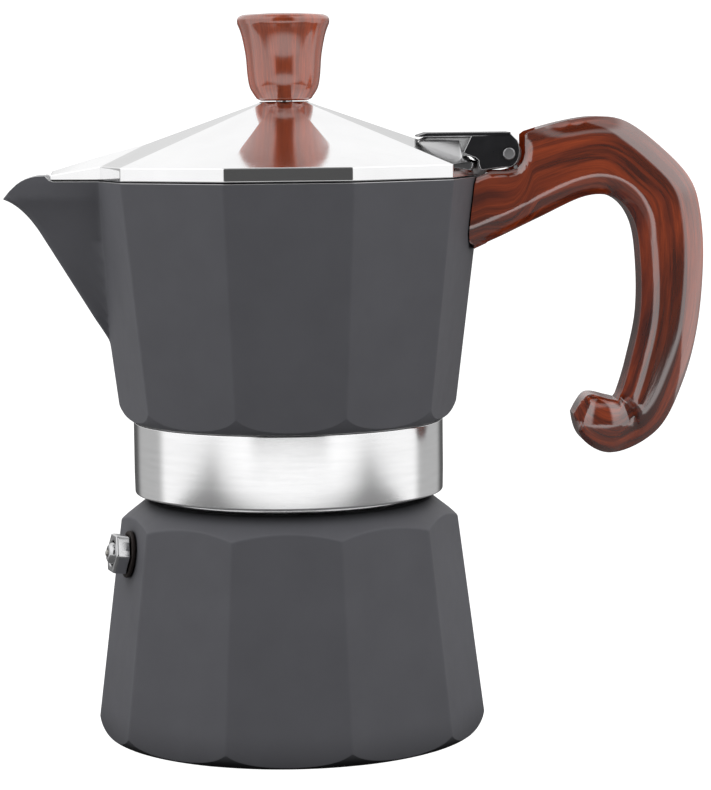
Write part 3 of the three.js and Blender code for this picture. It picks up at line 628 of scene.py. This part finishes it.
def make_valve():
    place = valve_place()
    make_valve_body(place)
    lathe("valve_seal", [(4.2, 0.3, 0), (5.5, 0.3, 0.3), (5.5, 1.1, 0.3), (4.2, 1.1, 0)],
          FIBRE, "boiler", ["valve_washer"], place=place)
    lathe("valve_boss", [(1.0, 3.4, 0), (2.6, 3.4, 0.2), (2.6, 4.7, 0.9), (1.9, 5.6, 0.5), (1.0, 5.7, 0.15)],
          PLATED, "boiler", ["valve_cap"], place=place)
    lathe("valve_plunger", [
        (0, -4.7, 0), (2.2, -4.7, 0.3), (2.2, -3.75, 0.2), (0.8, -3.6, 0.1), (0.8, 6.0, 0.3), (0, 6.2, 0),
    ], BRASS, "valve_pin", ["valve_pin"], closed=False, place=place)
    make_spring(place)


# ---- funnel and gasket

def make_funnel():
    flange = NECK_TOP_Z + 0.3
    lathe("funnel_basket", [
        (4.1, 8.0, 0.1), (4.1, 40.0, 1.5), (22.6, 46.6, 2.0), (27.6, 49.0, 1.5), (27.6, flange, 0.3),
        (31.2, flange, 0.3), (31.2, flange + 0.9, 0.3), (26.7, flange + 0.9, 0.5), (26.7, 49.0, 1.4),
        (23.1, 47.4, 1.5), (3.2, 40.7, 1.5), (3.2, 8.0, 0.1),
    ], CAST, "funnel", ["funnel"])
    base, top = low("gasket").z, high("gasket").z
    lathe("gasket_ring", [(25.5, base, 0.5), (32.1, base, 0.5), (32.1, top, 0.5), (25.5, top, 0.5)],
          SILICONE, "gasket", ["gasket"])


# ---- collector

# Lines in (distance from the axis, height)
JUG_FOOT = spline([
    (36.8, JUG_BOTTOM_Z), (37.9, 75.8), (39.0, 77.0), (39.9, 78.6), (40.9, 81.6), (42.4, 87.0),
], 8)
KEEL_OUT = np.array([
    (41.5, 93.0), *bezier((41.9, 93.8), (43.2, 96.0), (45.2, 99.0), 9),
    *bezier((57.0, 118.4), (61.3, 125.7), (66.2, 127.4), 13),
])
KEEL_IN = np.array([(42.6, 99.0), *bezier((55.0, 119.0), (59.6, 126.6), (65.3, 128.3), 13), (65.5, 134.0)])
LIP_EDGE = np.array([
    (0, RIM_Z), (54.9, RIM_Z), (55.4, 133.0), (58.0, 132.9), (60.0, 132.5), (62.3, 131.4), (64.4, 129.5),
    (66.2, 127.4), (90, 100),
])
PAINT_EDGE = 0.12


def jug_radius(z):
    return RIM_R - (RIM_Z - z) * (RIM_R - JUG_LOW_R) / (RIM_Z - JUG_LOW_Z)


def wedge_radius(z, phi, keel, thinner):
    """Distance from the axis to the spout's side or nose, at an angle phi from -X."""
    if z < keel[0][1]:
        return 0.0
    share = min(max((z - SPOUT_FOOT_Z) / (RIM_Z - SPOUT_FOOT_Z), 0), 1)
    side = mix(0.6, SPOUT_HALF_WIDTH - thinner, share)
    nose = mix(0.4, LIP_HALF_WIDTH - 0.8 * thinner, share)
    tip = np.interp(z, keel[:, 1], keel[:, 0]) - nose
    if abs(tip * sin(phi)) < nose * 0.96:
        return tip * cos(phi) + sqrt(nose ** 2 - (tip * sin(phi)) ** 2)
    slope = (nose - side) / (tip - SPOUT_ROOT)
    return (side - SPOUT_ROOT * slope) / (tan(phi) - slope) / cos(phi)


def jug_outside(z, theta):
    phi = abs(theta - pi)
    wall = ten_sided(jug_radius(z), theta)
    return soft_max(wall, wedge_radius(z, phi, KEEL_OUT, 0), 0.5) if phi < SPOUT_REACH else wall


def jug_inside(z, theta):
    phi = abs(theta - pi)
    wall = ten_sided(jug_radius(z) - JUG_WALL, theta, 1.0)
    return soft_max(wall, wedge_radius(z, phi, KEEL_IN, 1.5), 0.8) if phi < SPOUT_REACH else wall


def rim_height(surface, theta):
    """Height at which the inside or outside of the wall meets the rim, which dips along the lip."""
    out = abs(cos(theta))
    lip_r, lip_z = LIP_EDGE[:, 0], LIP_EDGE[:, 1]
    return first_crossing(lambda z: z - np.interp(surface(z, theta) * out, lip_r, lip_z), 118, 134)


def collector_column(theta):
    """Round the whole section: underside, threaded skirt, foot, painted wall, rim, inside wall and floor."""
    foot_r, foot_z = JUG_FOOT[:, 0], JUG_FOOT[:, 1]
    corners = [(COLUMN_HOLE_R, SEAT_Z + 1.8, 0.2, 1), (20, SEAT_Z + 1.4, 0.4, 1), (24, SEAT_Z, 0.4, 1)]
    corners += [(SKIRT_BORE_R, SEAT_Z, 0.3, 1)]
    for z in np.linspace(68.6, 58.9, 42):
        cut = thread_height(z, theta, 59.6, 2.25, 1.2, 0.5)
        corners.append((SKIRT_BORE_R + 1.0 * cut, z, 0, 1))
    corners += [(SKIRT_BORE_R + 0.5, SKIRT_LOW_Z, 0.4, 1), (SKIRT_R, SKIRT_LOW_Z, 0.4, 1)]
    corners += [(SKIRT_R, JUG_BOTTOM_Z, 0, 1), (36.4, JUG_BOTTOM_Z, 0, 0)]
    meet = first_crossing(lambda z: np.interp(z, foot_z, foot_r) - jug_outside(z, theta), JUG_BOTTOM_Z, 84.0)
    foot_heights = np.linspace(JUG_BOTTOM_Z + 0.02, mix(JUG_BOTTOM_Z, meet, 0.95), 7)
    corners += [(np.interp(z, foot_z, foot_r), z, 0, 0) for z in foot_heights]
    corners.append((jug_outside(meet, theta), meet, 0.3, 0))
    top = rim_height(jug_outside, theta)
    heights = [*np.linspace(meet + 0.8, 92, 4), *np.linspace(93, 100, 14), *np.linspace(104, 117, 4)]
    heights += [*mix(118, top - PAINT_EDGE, np.linspace(0, 1, 16) ** 0.8)]
    corners += [(jug_outside(z, theta), z, 0, 0) for z in heights[:-1]]
    corners.append((jug_outside(heights[-1], theta), heights[-1], 0, 1))
    corners.append((jug_outside(top, theta), top, 0.1, 1))
    inner_top = rim_height(jug_inside, theta)
    corners.append((jug_inside(inner_top, theta), inner_top, 0.35, 1))
    depths = [*mix(inner_top - 0.5, 119, np.linspace(0, 1, 14) ** 1.2), *np.linspace(112, 98, 7), 90, 82]
    corners += [(jug_inside(z, theta), z, 0, 1) for z in depths]
    corners += [(jug_inside(FLOOR_Z, theta) - 0.4, FLOOR_Z, 3.5, 1), (20, FLOOR_Z, 0, 1)]
    corners += [(COLUMN_HOLE_R, FLOOR_Z, 0.2, 1)]
    return filleted(corners, True)


def make_collector():
    spout = [180 + a for a in (*np.arange(-19, 19.01, 0.5), -0.25, 0.25, -0.75, 0.75)]
    angles = crease_angles(0, spout)
    jug = skin("collector_jug", collector_column, angles, [GREY_PAINT, CAST], "collector",
               ["collector"])
    weigh_normals(jug)
    base, top = COLLAR_LOW_Z + 0.3, JUG_BOTTOM_Z - 0.2
    bore = SKIRT_R + 0.3
    lathe("collar_ring", [
        (bore, base, 0.1), (COLLAR_R - 0.1, base, 0.5), (COLLAR_R, base + 5, 0), (COLLAR_R, top - 5, 0),
        (COLLAR_R, top, 0.4), (bore, top, 0.1),
    ], COLLAR, "collector", ["collar_band"], count=192)


def make_column():
    """The coffee column: a flange, a tapered tube and two outlets that dip to its bore."""
    flange = FLOOR_Z + 0.2
    base, top = low("coffee_column").z, high("coffee_column").z
    outlet_z, outlet_half = 114.0, 1.75
    bore_r = 2.0
    opening = radians(28)

    def column(theta):
        turned = abs((theta % pi) - pi / 2)
        line = [(0, outlet_z + 1.5, 0, 0), (bore_r, outlet_z + 1.5, 0.1, 0), (bore_r, base, 0.1, 0)]
        line += [(5.0, base, 0.3, 0), (5.0, flange, 0, 0), (8.5, flange, 0.2, 0)]
        line += [(8.5, flange + 1.2, 0.5, 0), (5.4, flange + 3, 1.5, 0)]
        for z in [82, 90, 100, 108, *np.linspace(111.6, 116.4, 13)]:
            share = hypot((z - outlet_z) / outlet_half, turned / opening)
            wall = mix(5.4, 4.3, (z - flange - 3) / (top - flange - 3))
            line.append((mix(bore_r + 0.4, wall, smooth((share - 0.85) / 0.25)), z, 0, 0))
        return filleted([*line, (4.2, top - 2.5, 1.2, 0), (3.4, top - 0.8, 0.6, 0), (0, top, 0, 0)])

    skin("coffee_riser", column, even_angles(96), [CAST], "collector",
         ["coffee_column"], closed=False)


def make_lug():
    """The eye that carries the hinge pin, on an arm that rises from the rim."""
    eye_r, half = 3.3, 3.6
    eye = [(PIN_X + eye_r * cos(a), PIN_Z + eye_r * sin(a)) for a in even_angles(28)]
    arm = [
        (43.9, 131.1), (46.3, 131.1), (47.2, 132.9), (52.2, 133.6), (54.4, 134.8), (52.6, 139.8),
        (49.6, 138.9), (43.9, 134.2),
    ]
    for name, outline, reach in (("hinge_lug", eye, half), ("hinge_lug_arm", arm, half - 0.05)):
        bevelled(name, [slab(outline, -reach, reach)], 0.3, [CAST], "collector")


def make_pin():
    """The hinge pin, with a slightly wider, chamfered head at each end."""
    side_on = Matrix.Translation((PIN_X, 0, PIN_Z)) @ Matrix.Rotation(radians(90), 4, "X")
    head = [(1.2, 6.5, 0.05), (1.5, 6.5, 0.05), (1.45, 6.8, 0.1), (1.2, 7.0, 0.25), (0, 7.0, 0)]
    foot = [(r, -along, fillet) for r, along, fillet in reversed(head)]
    lathe("hinge_rod", [*foot, *head], PIN_STEEL, "collector", ["hinge_pin"],
          closed=False, count=48, place=side_on)


# ---- handle

HANDLE_HALF, HANDLE_LEAST = 8.5, 3.4
SLOT_HALF, SLOT_END, SLOT_FLOOR = 6.7, 59.2, 132.3
# The side view in (x, z): the back, the bracket's notch, the finger side, the ball, and keys that face
# each other across the handle
BACK = [
    (55.9, 141.65), (64.5, 144.1), (72.7, 145.3), (79.8, 144.1), (87.9, 138.2), (94.8, 130.8), (97.3, 123.2),
    (98.1, 111.5), (96.8, 96.1), (93.4, 82.9), (87.5, 71.5), (77.3, 66.0), (69.9, 68.8), (67.4, 75.2),
]
NOTCH = [
    (44.2, 131.5), (47.5, 132.8), (51.8, 132.8), (54.0, 133.4), (55.3, 134.8), (55.9, 137.0), (55.9, 141.2),
]
FINGER = [
    (44.0, 114.65), (47.4, 116.2), (59.2, 121.8), (70.3, 126.7), (77.4, 126.1), (81.8, 120.4), (83.3, 110.5),
    (83.2, 98.5), (80.9, 87.4), (79.1, 81.2), (77.9, 78.4),
]
BALL = [FINGER[-1], (75.9, 78.9), (70.8, 79.7), BACK[-1]]
BALL_MIDDLE, BALL_R = (74.4, 72.9), 7.3
OUTER_KEYS = [NOTCH[0], NOTCH[-1], BACK[2], BACK[4], *BACK[6:]]
INNER_KEYS = [FINGER[0], *FINGER[2:], *BALL[2:]]


def length_along(line):
    return np.concatenate([[0], np.cumsum(np.linalg.norm(np.diff(line, axis=0), axis=1))])


def paired_points(line, keys, counts):
    """Points along a line, split between key points into the given counts."""
    lengths = length_along(line)
    stops = [lengths[np.argmin(np.linalg.norm(line - np.array(key), axis=1))] for key in keys]
    stops[-1] = lengths[-1]
    spans = [np.linspace(a, b, n, endpoint=False) for a, b, n in zip(stops, stops[1:], counts)]
    at = np.concatenate([*spans, stops[-1:]])
    return np.stack([np.interp(at, lengths, line[:, k]) for k in (0, 1)], axis=1)


def distance_to(line, points):
    """Shortest distance from each point to an open polyline."""
    a, b = line[:-1], line[1:]
    run = b - a
    span = np.maximum((run ** 2).sum(1), 1e-12)
    rel = points[:, None, :] - a[None]
    share = np.clip((rel * run).sum(2) / span, 0, 1)
    return np.sqrt(((rel - share[:, :, None] * run) ** 2).sum(2)).min(1)


def handle_depth(points, outer, notch, inner):
    """Half thickness of the handle at points of its side view: wide soft bevels, narrow ones at the slot."""
    bevel = mix(1.45, 3.7, np.clip((points[:, 0] - SLOT_END) / 7, 0, 1))
    back = bevel * (1 - np.clip(distance_to(outer, points) / 5.2, 0, 1)) ** 1.7
    finger = 3.4 * (1 - np.clip(distance_to(inner, points) / 4.2, 0, 1)) ** 1.5
    cut = 1.1 * (1 - np.clip(distance_to(notch, points) / 1.3, 0, 1)) ** 0.5
    depth = HANDLE_HALF - np.maximum(back, finger)
    both = HANDLE_HALF - back - finger
    depth = np.maximum(np.minimum(depth, 0.45 * depth + 0.55 * both), HANDLE_LEAST)
    away = np.linalg.norm(points - np.array(BALL_MIDDLE), axis=1) / BALL_R
    dome = mix(HANDLE_LEAST, HANDLE_HALF, np.sqrt(np.clip(1 - away ** 2, 0, 1)))
    near = np.clip((1.25 - away) / 0.6, 0, 1)
    depth = mix(depth, dome, near * near * (3 - 2 * near))
    return np.minimum(depth, HANDLE_HALF - cut)


def handle_grid():
    """Rows of side-view points from the back to the finger side, their shares across, and their depths."""
    notch, back = np.array(NOTCH), spline(BACK, 10)
    finger = np.concatenate([spline(FINGER, 10)[:-1], spline(BALL, 10)])
    counts = (22, 12, 12, 14, 10, 10, 10, 10, 12, 14, 16)
    outer = paired_points(np.concatenate([notch, back]), OUTER_KEYS, counts)
    inner = paired_points(finger, INNER_KEYS, counts)
    across = np.array([0, 0.012, 0.03, 0.055, 0.09, 0.13, 0.18, 0.24, 0.3, 0.38, 0.46, 0.54, 0.62, 0.7, 0.76,
                       0.82, 0.87, 0.91, 0.945, 0.97, 0.988, 1.0])
    share = across[None, :, None]
    grid = outer[:, None, :] * (1 - share) + inner[:, None, :] * share
    depth = handle_depth(grid.reshape(-1, 2), back, notch, finger).reshape(grid.shape[:2])
    return grid, across, depth


def edge_points(x, z, half, at_slot):
    """Points between the two faces along one edge, with the bracket's slot let into the end by the jug."""
    slot = min(SLOT_HALF, 0.95 * half)
    for y in (-0.97 * half, -slot - 0.05, -slot, -0.5 * slot, 0, 0.5 * slot, slot, slot + 0.05, 0.97 * half):
        in_slot = at_slot and x < SLOT_END and abs(y) <= slot
        slot_x = max(x, SLOT_END) if in_slot and z > 134 else x
        slot_z = min(z, SLOT_FLOOR) if in_slot and slot_x < 54 else z
        yield slot_x, y, slot_z


def make_handle():
    """Rings round the handle: one face, the finger side, the other face and the back."""
    grid, across, depth = handle_grid()
    rows, cells = depth.shape
    outer, inner = grid[:, 0], grid[:, -1]
    along = length_along((outer + inner) / 2)
    width = np.linalg.norm(outer - inner, axis=1)
    vertices, grain, rings = [], [], []
    for row in range(rows):
        faces = [(x, z, half, share) for (x, z), half, share in zip(grid[row], depth[row], across)]
        ring = [((x, -half, z), share) for x, z, half, share in faces]
        ring += [(point, 1.0) for point in edge_points(*faces[-1][:3], False)]
        ring += [((x, half, z), share) for x, z, half, share in reversed(faces)]
        ring += [((x, -y, z), 0.0) for x, y, z in edge_points(*faces[0][:3], True)]
        rings.append(range(len(vertices), len(vertices) + len(ring)))
        vertices += [fit_to_jug(*point) for point, _ in ring]
        grain += [(along[row], share * width[row] * 0.85, point[1] * 0.5) for point, share in ring]
    sides = []
    for here, there in zip(rings, rings[1:]):
        for k in range(len(here)):
            up = (k + 1) % len(here)
            sides.append([here[k], here[up], there[up], there[k]])
    sides.append(list(reversed(rings[0])))
    handle = new_piece("handle_grip", vertices, sides, [0] * len(sides), [WOOD], "collector",
                       ["handle"])
    lay_grain(handle, grain)
    shape = bmesh.new()
    shape.from_mesh(handle.data)
    bmesh.ops.remove_doubles(shape, verts=shape.verts, dist=1e-6)
    bmesh.ops.dissolve_degenerate(shape, edges=shape.edges, dist=1e-7)
    shape.to_mesh(handle.data)
    shape.free()
    handle.data.set_sharp_from_angle(angle=radians(42))


def lay_grain(piece, grain):
    """Stores each vertex's place in the wood print: along, across and through, in millimetres."""
    layer = piece.data.attributes.new("grain", "FLOAT_VECTOR", "POINT")
    layer.data.foreach_set("vector", np.array(grain, np.float32).ravel())


def fit_to_jug(x, y, z):
    """Draws the handle's end on to the jug's two facets, and leaves the rest of it alone."""
    low_x, low_z = FINGER[0]
    contact = max(jug_radius(z) + 0.35 - abs(y) * tan(SECTOR / 2), low_x if z < 116 else 0)
    start = low_x + 0.2 * (z - low_z) / 16.75
    share = max(0.0, 1 - (x - start) / 7)
    return x + (contact - start) * share, y, z


# ---- lid

def pyramid_height(r, theta):
    return LID_BAND_Z + (LID_R - r / ten_sided(1.0, theta, 0.3 / LID_R)) * LID_SLOPE


def cover_height(r, theta):
    """Height of the gabled spout cover's roof, or far below where there is none."""
    out, aside = -r * cos(theta), abs(r * sin(theta))
    if out < COVER_STATIONS[0][0]:
        return -1000.0
    stations = np.array(COVER_STATIONS)
    ridge, half, eaves = (np.interp(out, stations[:, 0], stations[:, k]) for k in (1, 2, 3))
    return ridge - (ridge - eaves) * aside / half


def cover_reach(theta):
    """Distance from the axis to the side or end of the spout cover."""
    phi = abs(theta - pi)
    if phi > SPOUT_REACH:
        return 0.0
    slope = tan(phi)
    reach = COVER_END
    for (near, _, near_half, _), (far, _, far_half, _) in zip(COVER_STATIONS, COVER_STATIONS[1:]):
        narrowing = (near_half - far_half) / (far - near)
        at = (near_half + near * narrowing) / (slope + narrowing)
        if near <= at <= far:
            reach = at
    return reach / cos(phi)


def lid_reach(theta):
    from_handle = min(theta, 2 * pi - theta)
    if from_handle < asin(NOTCH_HALF_WIDTH / NOTCH_X):
        return NOTCH_X / cos(from_handle)
    reach = ten_sided(LID_R, theta)
    cover = cover_reach(theta)
    return soft_max(reach, cover, 0.25) if cover else reach


def lid_height(r, theta):
    return soft_max(pyramid_height(r, theta), cover_height(r, theta), 0.12)


def lid_column(theta):
    """Over the top from the knob's screw hole, down the band and back underneath."""
    end = lid_reach(theta)
    valley = end - 1.2
    if abs(theta - pi) < SPOUT_REACH and cover_height(valley, theta) > pyramid_height(valley, theta):
        valley = first_crossing(lambda r: cover_height(r, theta) - pyramid_height(r, theta), 31.0, valley)
    top = pyramid_height(LID_TOP_R * ten_sided(1.0, theta), theta)
    corners = [(2.2, top - 1.4, 0, 0), (2.2, top, 0.1, 0)]
    corners.append((LID_TOP_R * ten_sided(1.0, theta, 0.01), top, 0.4, 0))
    radii = [*np.linspace(8, valley - 0.6, 12), *np.linspace(valley - 0.3, valley + 0.3, 5)]
    radii += [*np.linspace(valley + 0.5, end - 0.5, 6)]
    corners += [(r, lid_height(r, theta), 0, 0) for r in radii]
    corners += [(end, lid_height(end, theta), 0.3, 0), (end, LID_LOW_Z, 0.25, 0)]
    inner = end - LID_BAND_WALL
    corners += [(inner, LID_LOW_Z, 0.3, 0), (inner, lid_height(inner, theta) - LID_SHEET, 0.4, 0)]
    corners += [(r, lid_height(r, theta) - LID_SHEET, 0, 0) for r in np.linspace(inner - 1.5, 9, 12)]
    corners += [(8, lid_height(8.5, theta) - LID_SHEET, 0.5, 0)]
    return filleted(corners, True)


def make_lid():
    notch = degrees(asin(NOTCH_HALF_WIDTH / NOTCH_X))
    cover = [180 + a for a in (*np.arange(-24, 24.01, 1.0), -7.35, 7.35, -7.2, 7.2, -14.35, 14.35)]
    edges = [sign * (notch + shift) for sign in (-1, 1) for shift in (-0.05, 0.05)]
    lid = skin("lid_shell", lid_column, crease_angles(0, [*cover, *edges]), [POLISHED], "lid",
               ["lid"])
    lid.data.set_sharp_from_angle(angle=radians(50))
    weigh_normals(lid)


def make_saddle():
    """The block on the lid under the bracket's plate, and its sides, which spread into the lid."""
    half = 4.9
    top = SADDLE_TOP_Z
    saddle = [(30.6, 139.8), (33.4, top), (44.0, top), (44.0, 136.4), (41.0, 136.3), (32.0, 139.5)]
    bevelled("hinge_saddle", [slab(saddle, -half, half)], 0.5, [SATIN], "lid")

    def rectangle(near, far, aside, near_z, far_z):
        return [(near, aside, near_z), (far, aside, far_z), (far, -aside, far_z), (near, -aside, near_z)]

    block = rectangle(32.2, 41.0, half - 0.3, 140.3, 140.5) + rectangle(29.5, 41.4, 8.2, 139.3, 135.2)
    sides = [[0, 1, 2, 3], [7, 6, 5, 4], *([i, (i + 1) % 4, 4 + (i + 1) % 4, 4 + i] for i in range(4))]
    bevelled("hinge_saddle_flanks", [(block, sides)], 0.6, [SATIN], "lid")


def make_bracket():
    """A folded black bracket: a plate on the lid and two cheeks down to the pin."""
    top, under, end = high("hinge_bracket").z, SADDLE_TOP_Z - 0.05, 52.7
    turns = np.radians(range(-80, 41, 20))
    round_pin = [(PIN_X + 2.6 * cos(a), PIN_Z + 0.7 + 3.9 * sin(a)) for a in turns]
    cheek = [
        (43.4, under + 0.2), (41.5, 137.1), (44.4, 135.9), (45.1, 135.3), (45.2, 134.2), (45.7, 133.0),
        (50.5, 133.6), *round_pin, (53.6, 140.6), (end, under + 0.6),
    ]
    plate = [(31.0, under), (end, under), (end, top), (33.0, top), (31.0, under + 0.4)]
    half, inside = CHEEK_HALF, CHEEK_HALF - CHEEK_SHEET
    solids = [slab(plate, -half, half), slab(cheek, -half, -inside), slab(cheek, inside, half)]
    bevelled("bracket_shell", solids, 0.22, [BLACK, PLATED], "lid", ["hinge_bracket"],
             edge_material=1)


def make_rivets():
    """Flush countersunk rivets through the bracket's plate."""
    top = high("hinge_bracket").z
    for index, node in enumerate(("bracket_rivet_1", "bracket_rivet_2")):
        middle, foot, head = (low(node) + high(node)) / 2, low(node).z, high(node).z
        lathe(f"rivet_{index + 1}", [
            (0, foot, 0), (1.1, foot, 0.2), (1.1, top - 0.85, 0), (1.9, top - 0.12, 0.1), (1.8, head, 0.1),
            (0, head, 0),
        ], PLATED, "lid", [node], closed=False, count=48,
            place=Matrix.Translation((middle.x, 0, 0)))


def make_knob():
    """A turned knob that flares to its top, with a socket for its screw."""
    base, top = low("knob").z, high("knob").z
    socket_r, socket_top = 2.2, base + 10.3
    flare = [(6.4, 0.5), (7.9, 2.9), (8.5, 5.8), (8.9, 10.6), (9.8, 15.3), (10.75, 17.9)]
    side = spline([(r, base + rise) for r, rise in flare], 6)
    line = filleted([
        (0, socket_top, 0, 0), (socket_r, socket_top, 0.2, 0), (socket_r, base, 0.1, 0), (5.4, base, 0.4, 0),
        *[(r, z, 0, 0) for r, z in side],
        (10.85, top - 1.2, 0.7, 0), (9.9, top - 0.35, 0.8, 0), (4.0, top, 0, 0), (0, top, 0, 0),
    ])
    knob = skin("knob_grip", lambda _: line, even_angles(128), [KNOB_WOOD], "lid", ["knob"],
                closed=False)
    turns = [(v.co.z / MM, atan2(v.co.y, v.co.x + 1e-9)) for v in knob.data.vertices]
    lay_grain(knob, [(z, 14 * sin(angle), 14 * cos(angle)) for z, angle in turns])


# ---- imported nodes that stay

def finish_packed_nodes():
    kept = {
        "funnel_strainer": TURNED, "filter_plate": TURNED, "knob_washer": PLATED,
        "knob_screw": PLATED, "handle_screw": PLATED,
    }
    for node, material in kept.items():
        mesh = frame["nodes"][node].data
        mesh.materials.clear()
        mesh.materials.append(material)


# ---- studio and camera

FLOOR_R = 0.46
FLOOR_MIDDLE = (0.0, -0.33)


def floor_material():
    """White to the eye, and in glossy surfaces brighter further to the front."""
    p = Painter("floor", (0.22, 0.22, 0.22), Roughness=0.9, Specular_IOR_Level=0.0)
    rays = p.add("ShaderNodeLightPath").outputs
    place = p.add("ShaderNodeTexCoord").outputs["Object"]
    forward = p.add("ShaderNodeSeparateXYZ", Vector=place).outputs["Y"]
    far = p.add("ShaderNodeMapRange", Value=forward, From_Min=0.08, From_Max=-0.04, To_Min=0.0, To_Max=1.0)
    seen = p.times(rays["Is Camera Ray"], 1.1)
    mirrored = p.times(rays["Is Glossy Ray"], far)
    p.shader.inputs["Emission Color"].default_value = (1, 1, 1, 1)
    return p.finish(Emission_Strength=p.add("ShaderNodeMath", **{"0": seen, "1": mirrored}))


def make_floor():
    """A white floor that reaches further to the front, where glossy surfaces mirror it."""
    edge = [(FLOOR_R * cos(a), FLOOR_R * sin(a), 0) for a in even_angles(96)]
    mesh = bpy.data.meshes.new("floor")
    mesh.from_pydata(edge, [], [list(range(len(edge)))])
    mesh.materials.append(floor_material())
    floor = bpy.data.objects.new("floor", mesh)
    bpy.context.scene.collection.objects.link(floor)
    floor.location = (*FLOOR_MIDDLE, -0.0002)


class Sky:
    """Builds a brightness by direction, from bands of azimuth (0 at -Y) and elevation, in degrees."""

    def __init__(self, tree):
        self.tree = tree
        split = tree.nodes.new("ShaderNodeSeparateXYZ")
        tree.links.new(tree.nodes.new("ShaderNodeTexCoord").outputs["Generated"], split.inputs[0])
        x, y, z = split.outputs
        self.azimuth = self.math("ABSOLUTE", self.math("ARCTAN2", x, self.times(y, -1.0)))
        self.elevation = self.math("ARCSINE", z)

    def math(self, operation, *values):
        node = self.tree.nodes.new("ShaderNodeMath")
        node.operation = operation
        for socket, value in zip(node.inputs, values):
            if isinstance(value, float):
                socket.default_value = value
            else:
                self.tree.links.new(value, socket)
        return node.outputs[0]

    def times(self, first, second):
        return self.math("MULTIPLY", first, second)

    def less(self, first, second):
        return self.math("SUBTRACT", first, second)

    def past(self, value, start, end):
        """0 below start and 1 above end."""
        node = self.tree.nodes.new("ShaderNodeMapRange")
        node.interpolation_type = "SMOOTHSTEP"
        self.tree.links.new(value, node.inputs["Value"])
        node.inputs["From Min"].default_value = radians(start)
        node.inputs["From Max"].default_value = radians(end)
        return node.outputs[0]

    def before(self, value, start, end):
        """1 below start and 0 above end."""
        return self.less(1.0, self.past(value, start, end))


def studio_level(sky):
    """White, with dark zones in front, behind, low behind and overhead, and brighter sides."""
    side, up = sky.azimuth, sky.elevation
    front = sky.times(sky.before(side, 22, 33), sky.less(1.0, sky.times(sky.past(up, 40, 52), 0.4)))
    rear = sky.times(sky.past(side, 104, 114), sky.before(up, 2, 20))
    low_rear = sky.times(sky.past(side, 142, 156), sky.before(up, -2, 8))
    level = 1.0
    for zone, depth in ((front, 0.92), (rear, 0.55), (low_rear, 0.36), (sky.past(up, 56, 72), 0.7)):
        level = sky.less(level, sky.times(zone, depth))
    beside = sky.times(sky.before(side, 112, 140), sky.past(up, 6, 26))
    bright = sky.less(beside, sky.times(beside, front))
    return sky.math("MAXIMUM", sky.math("ADD", level, sky.times(bright, 0.3)), 0.02)


def make_world():
    """The studio by direction for light and reflections, and plain white behind the object."""
    world = bpy.data.worlds.new("studio")
    bpy.context.scene.world = world
    world.use_nodes = True
    tree = world.node_tree
    tree.nodes.clear()
    lit, backdrop = (tree.nodes.new("ShaderNodeBackground") for _ in range(2))
    for background in (lit, backdrop):
        background.inputs["Color"].default_value = (1, 1, 1, 1)
    tree.links.new(studio_level(Sky(tree)), lit.inputs["Strength"])
    backdrop.inputs["Strength"].default_value = 1.2
    choose = tree.nodes.new("ShaderNodeMixShader")
    seen = tree.nodes.new("ShaderNodeLightPath").outputs["Is Camera Ray"]
    for index, output in enumerate((seen, lit.outputs[0], backdrop.outputs[0])):
        tree.links.new(output, choose.inputs[index])
    tree.links.new(choose.outputs[0], tree.nodes.new("ShaderNodeOutputWorld").inputs["Surface"])


def make_camera():
    """A long lens in front, level with the lid's top and looking slightly down."""
    data = bpy.data.cameras.new("camera")
    data.lens = 127.4
    data.sensor_width = 36
    data.clip_start = 0.02
    camera = bpy.data.objects.new("camera", data)
    bpy.context.scene.collection.objects.link(camera)
    round_object = Matrix.Rotation(radians(-2.3), 4, "Z")
    back_off = Matrix.Translation((0.01598, -0.659, 0.14998))
    tilt = Matrix.Rotation(radians(90 - 6.05), 4, "X")
    roll = Matrix.Rotation(radians(-0.62), 4, "Z")
    camera.matrix_world = round_object @ back_off @ tilt @ roll
    bpy.context.scene.camera = camera


bpy.context.scene.view_settings.view_transform = "Standard"
make_camera()
make_world()
make_floor()
make_boiler()
make_valve()
make_funnel()
make_collector()
make_column()
make_lug()
make_pin()
make_handle()
make_lid()
make_saddle()
make_bracket()
make_rivets()
make_knob()
finish_packed_nodes()
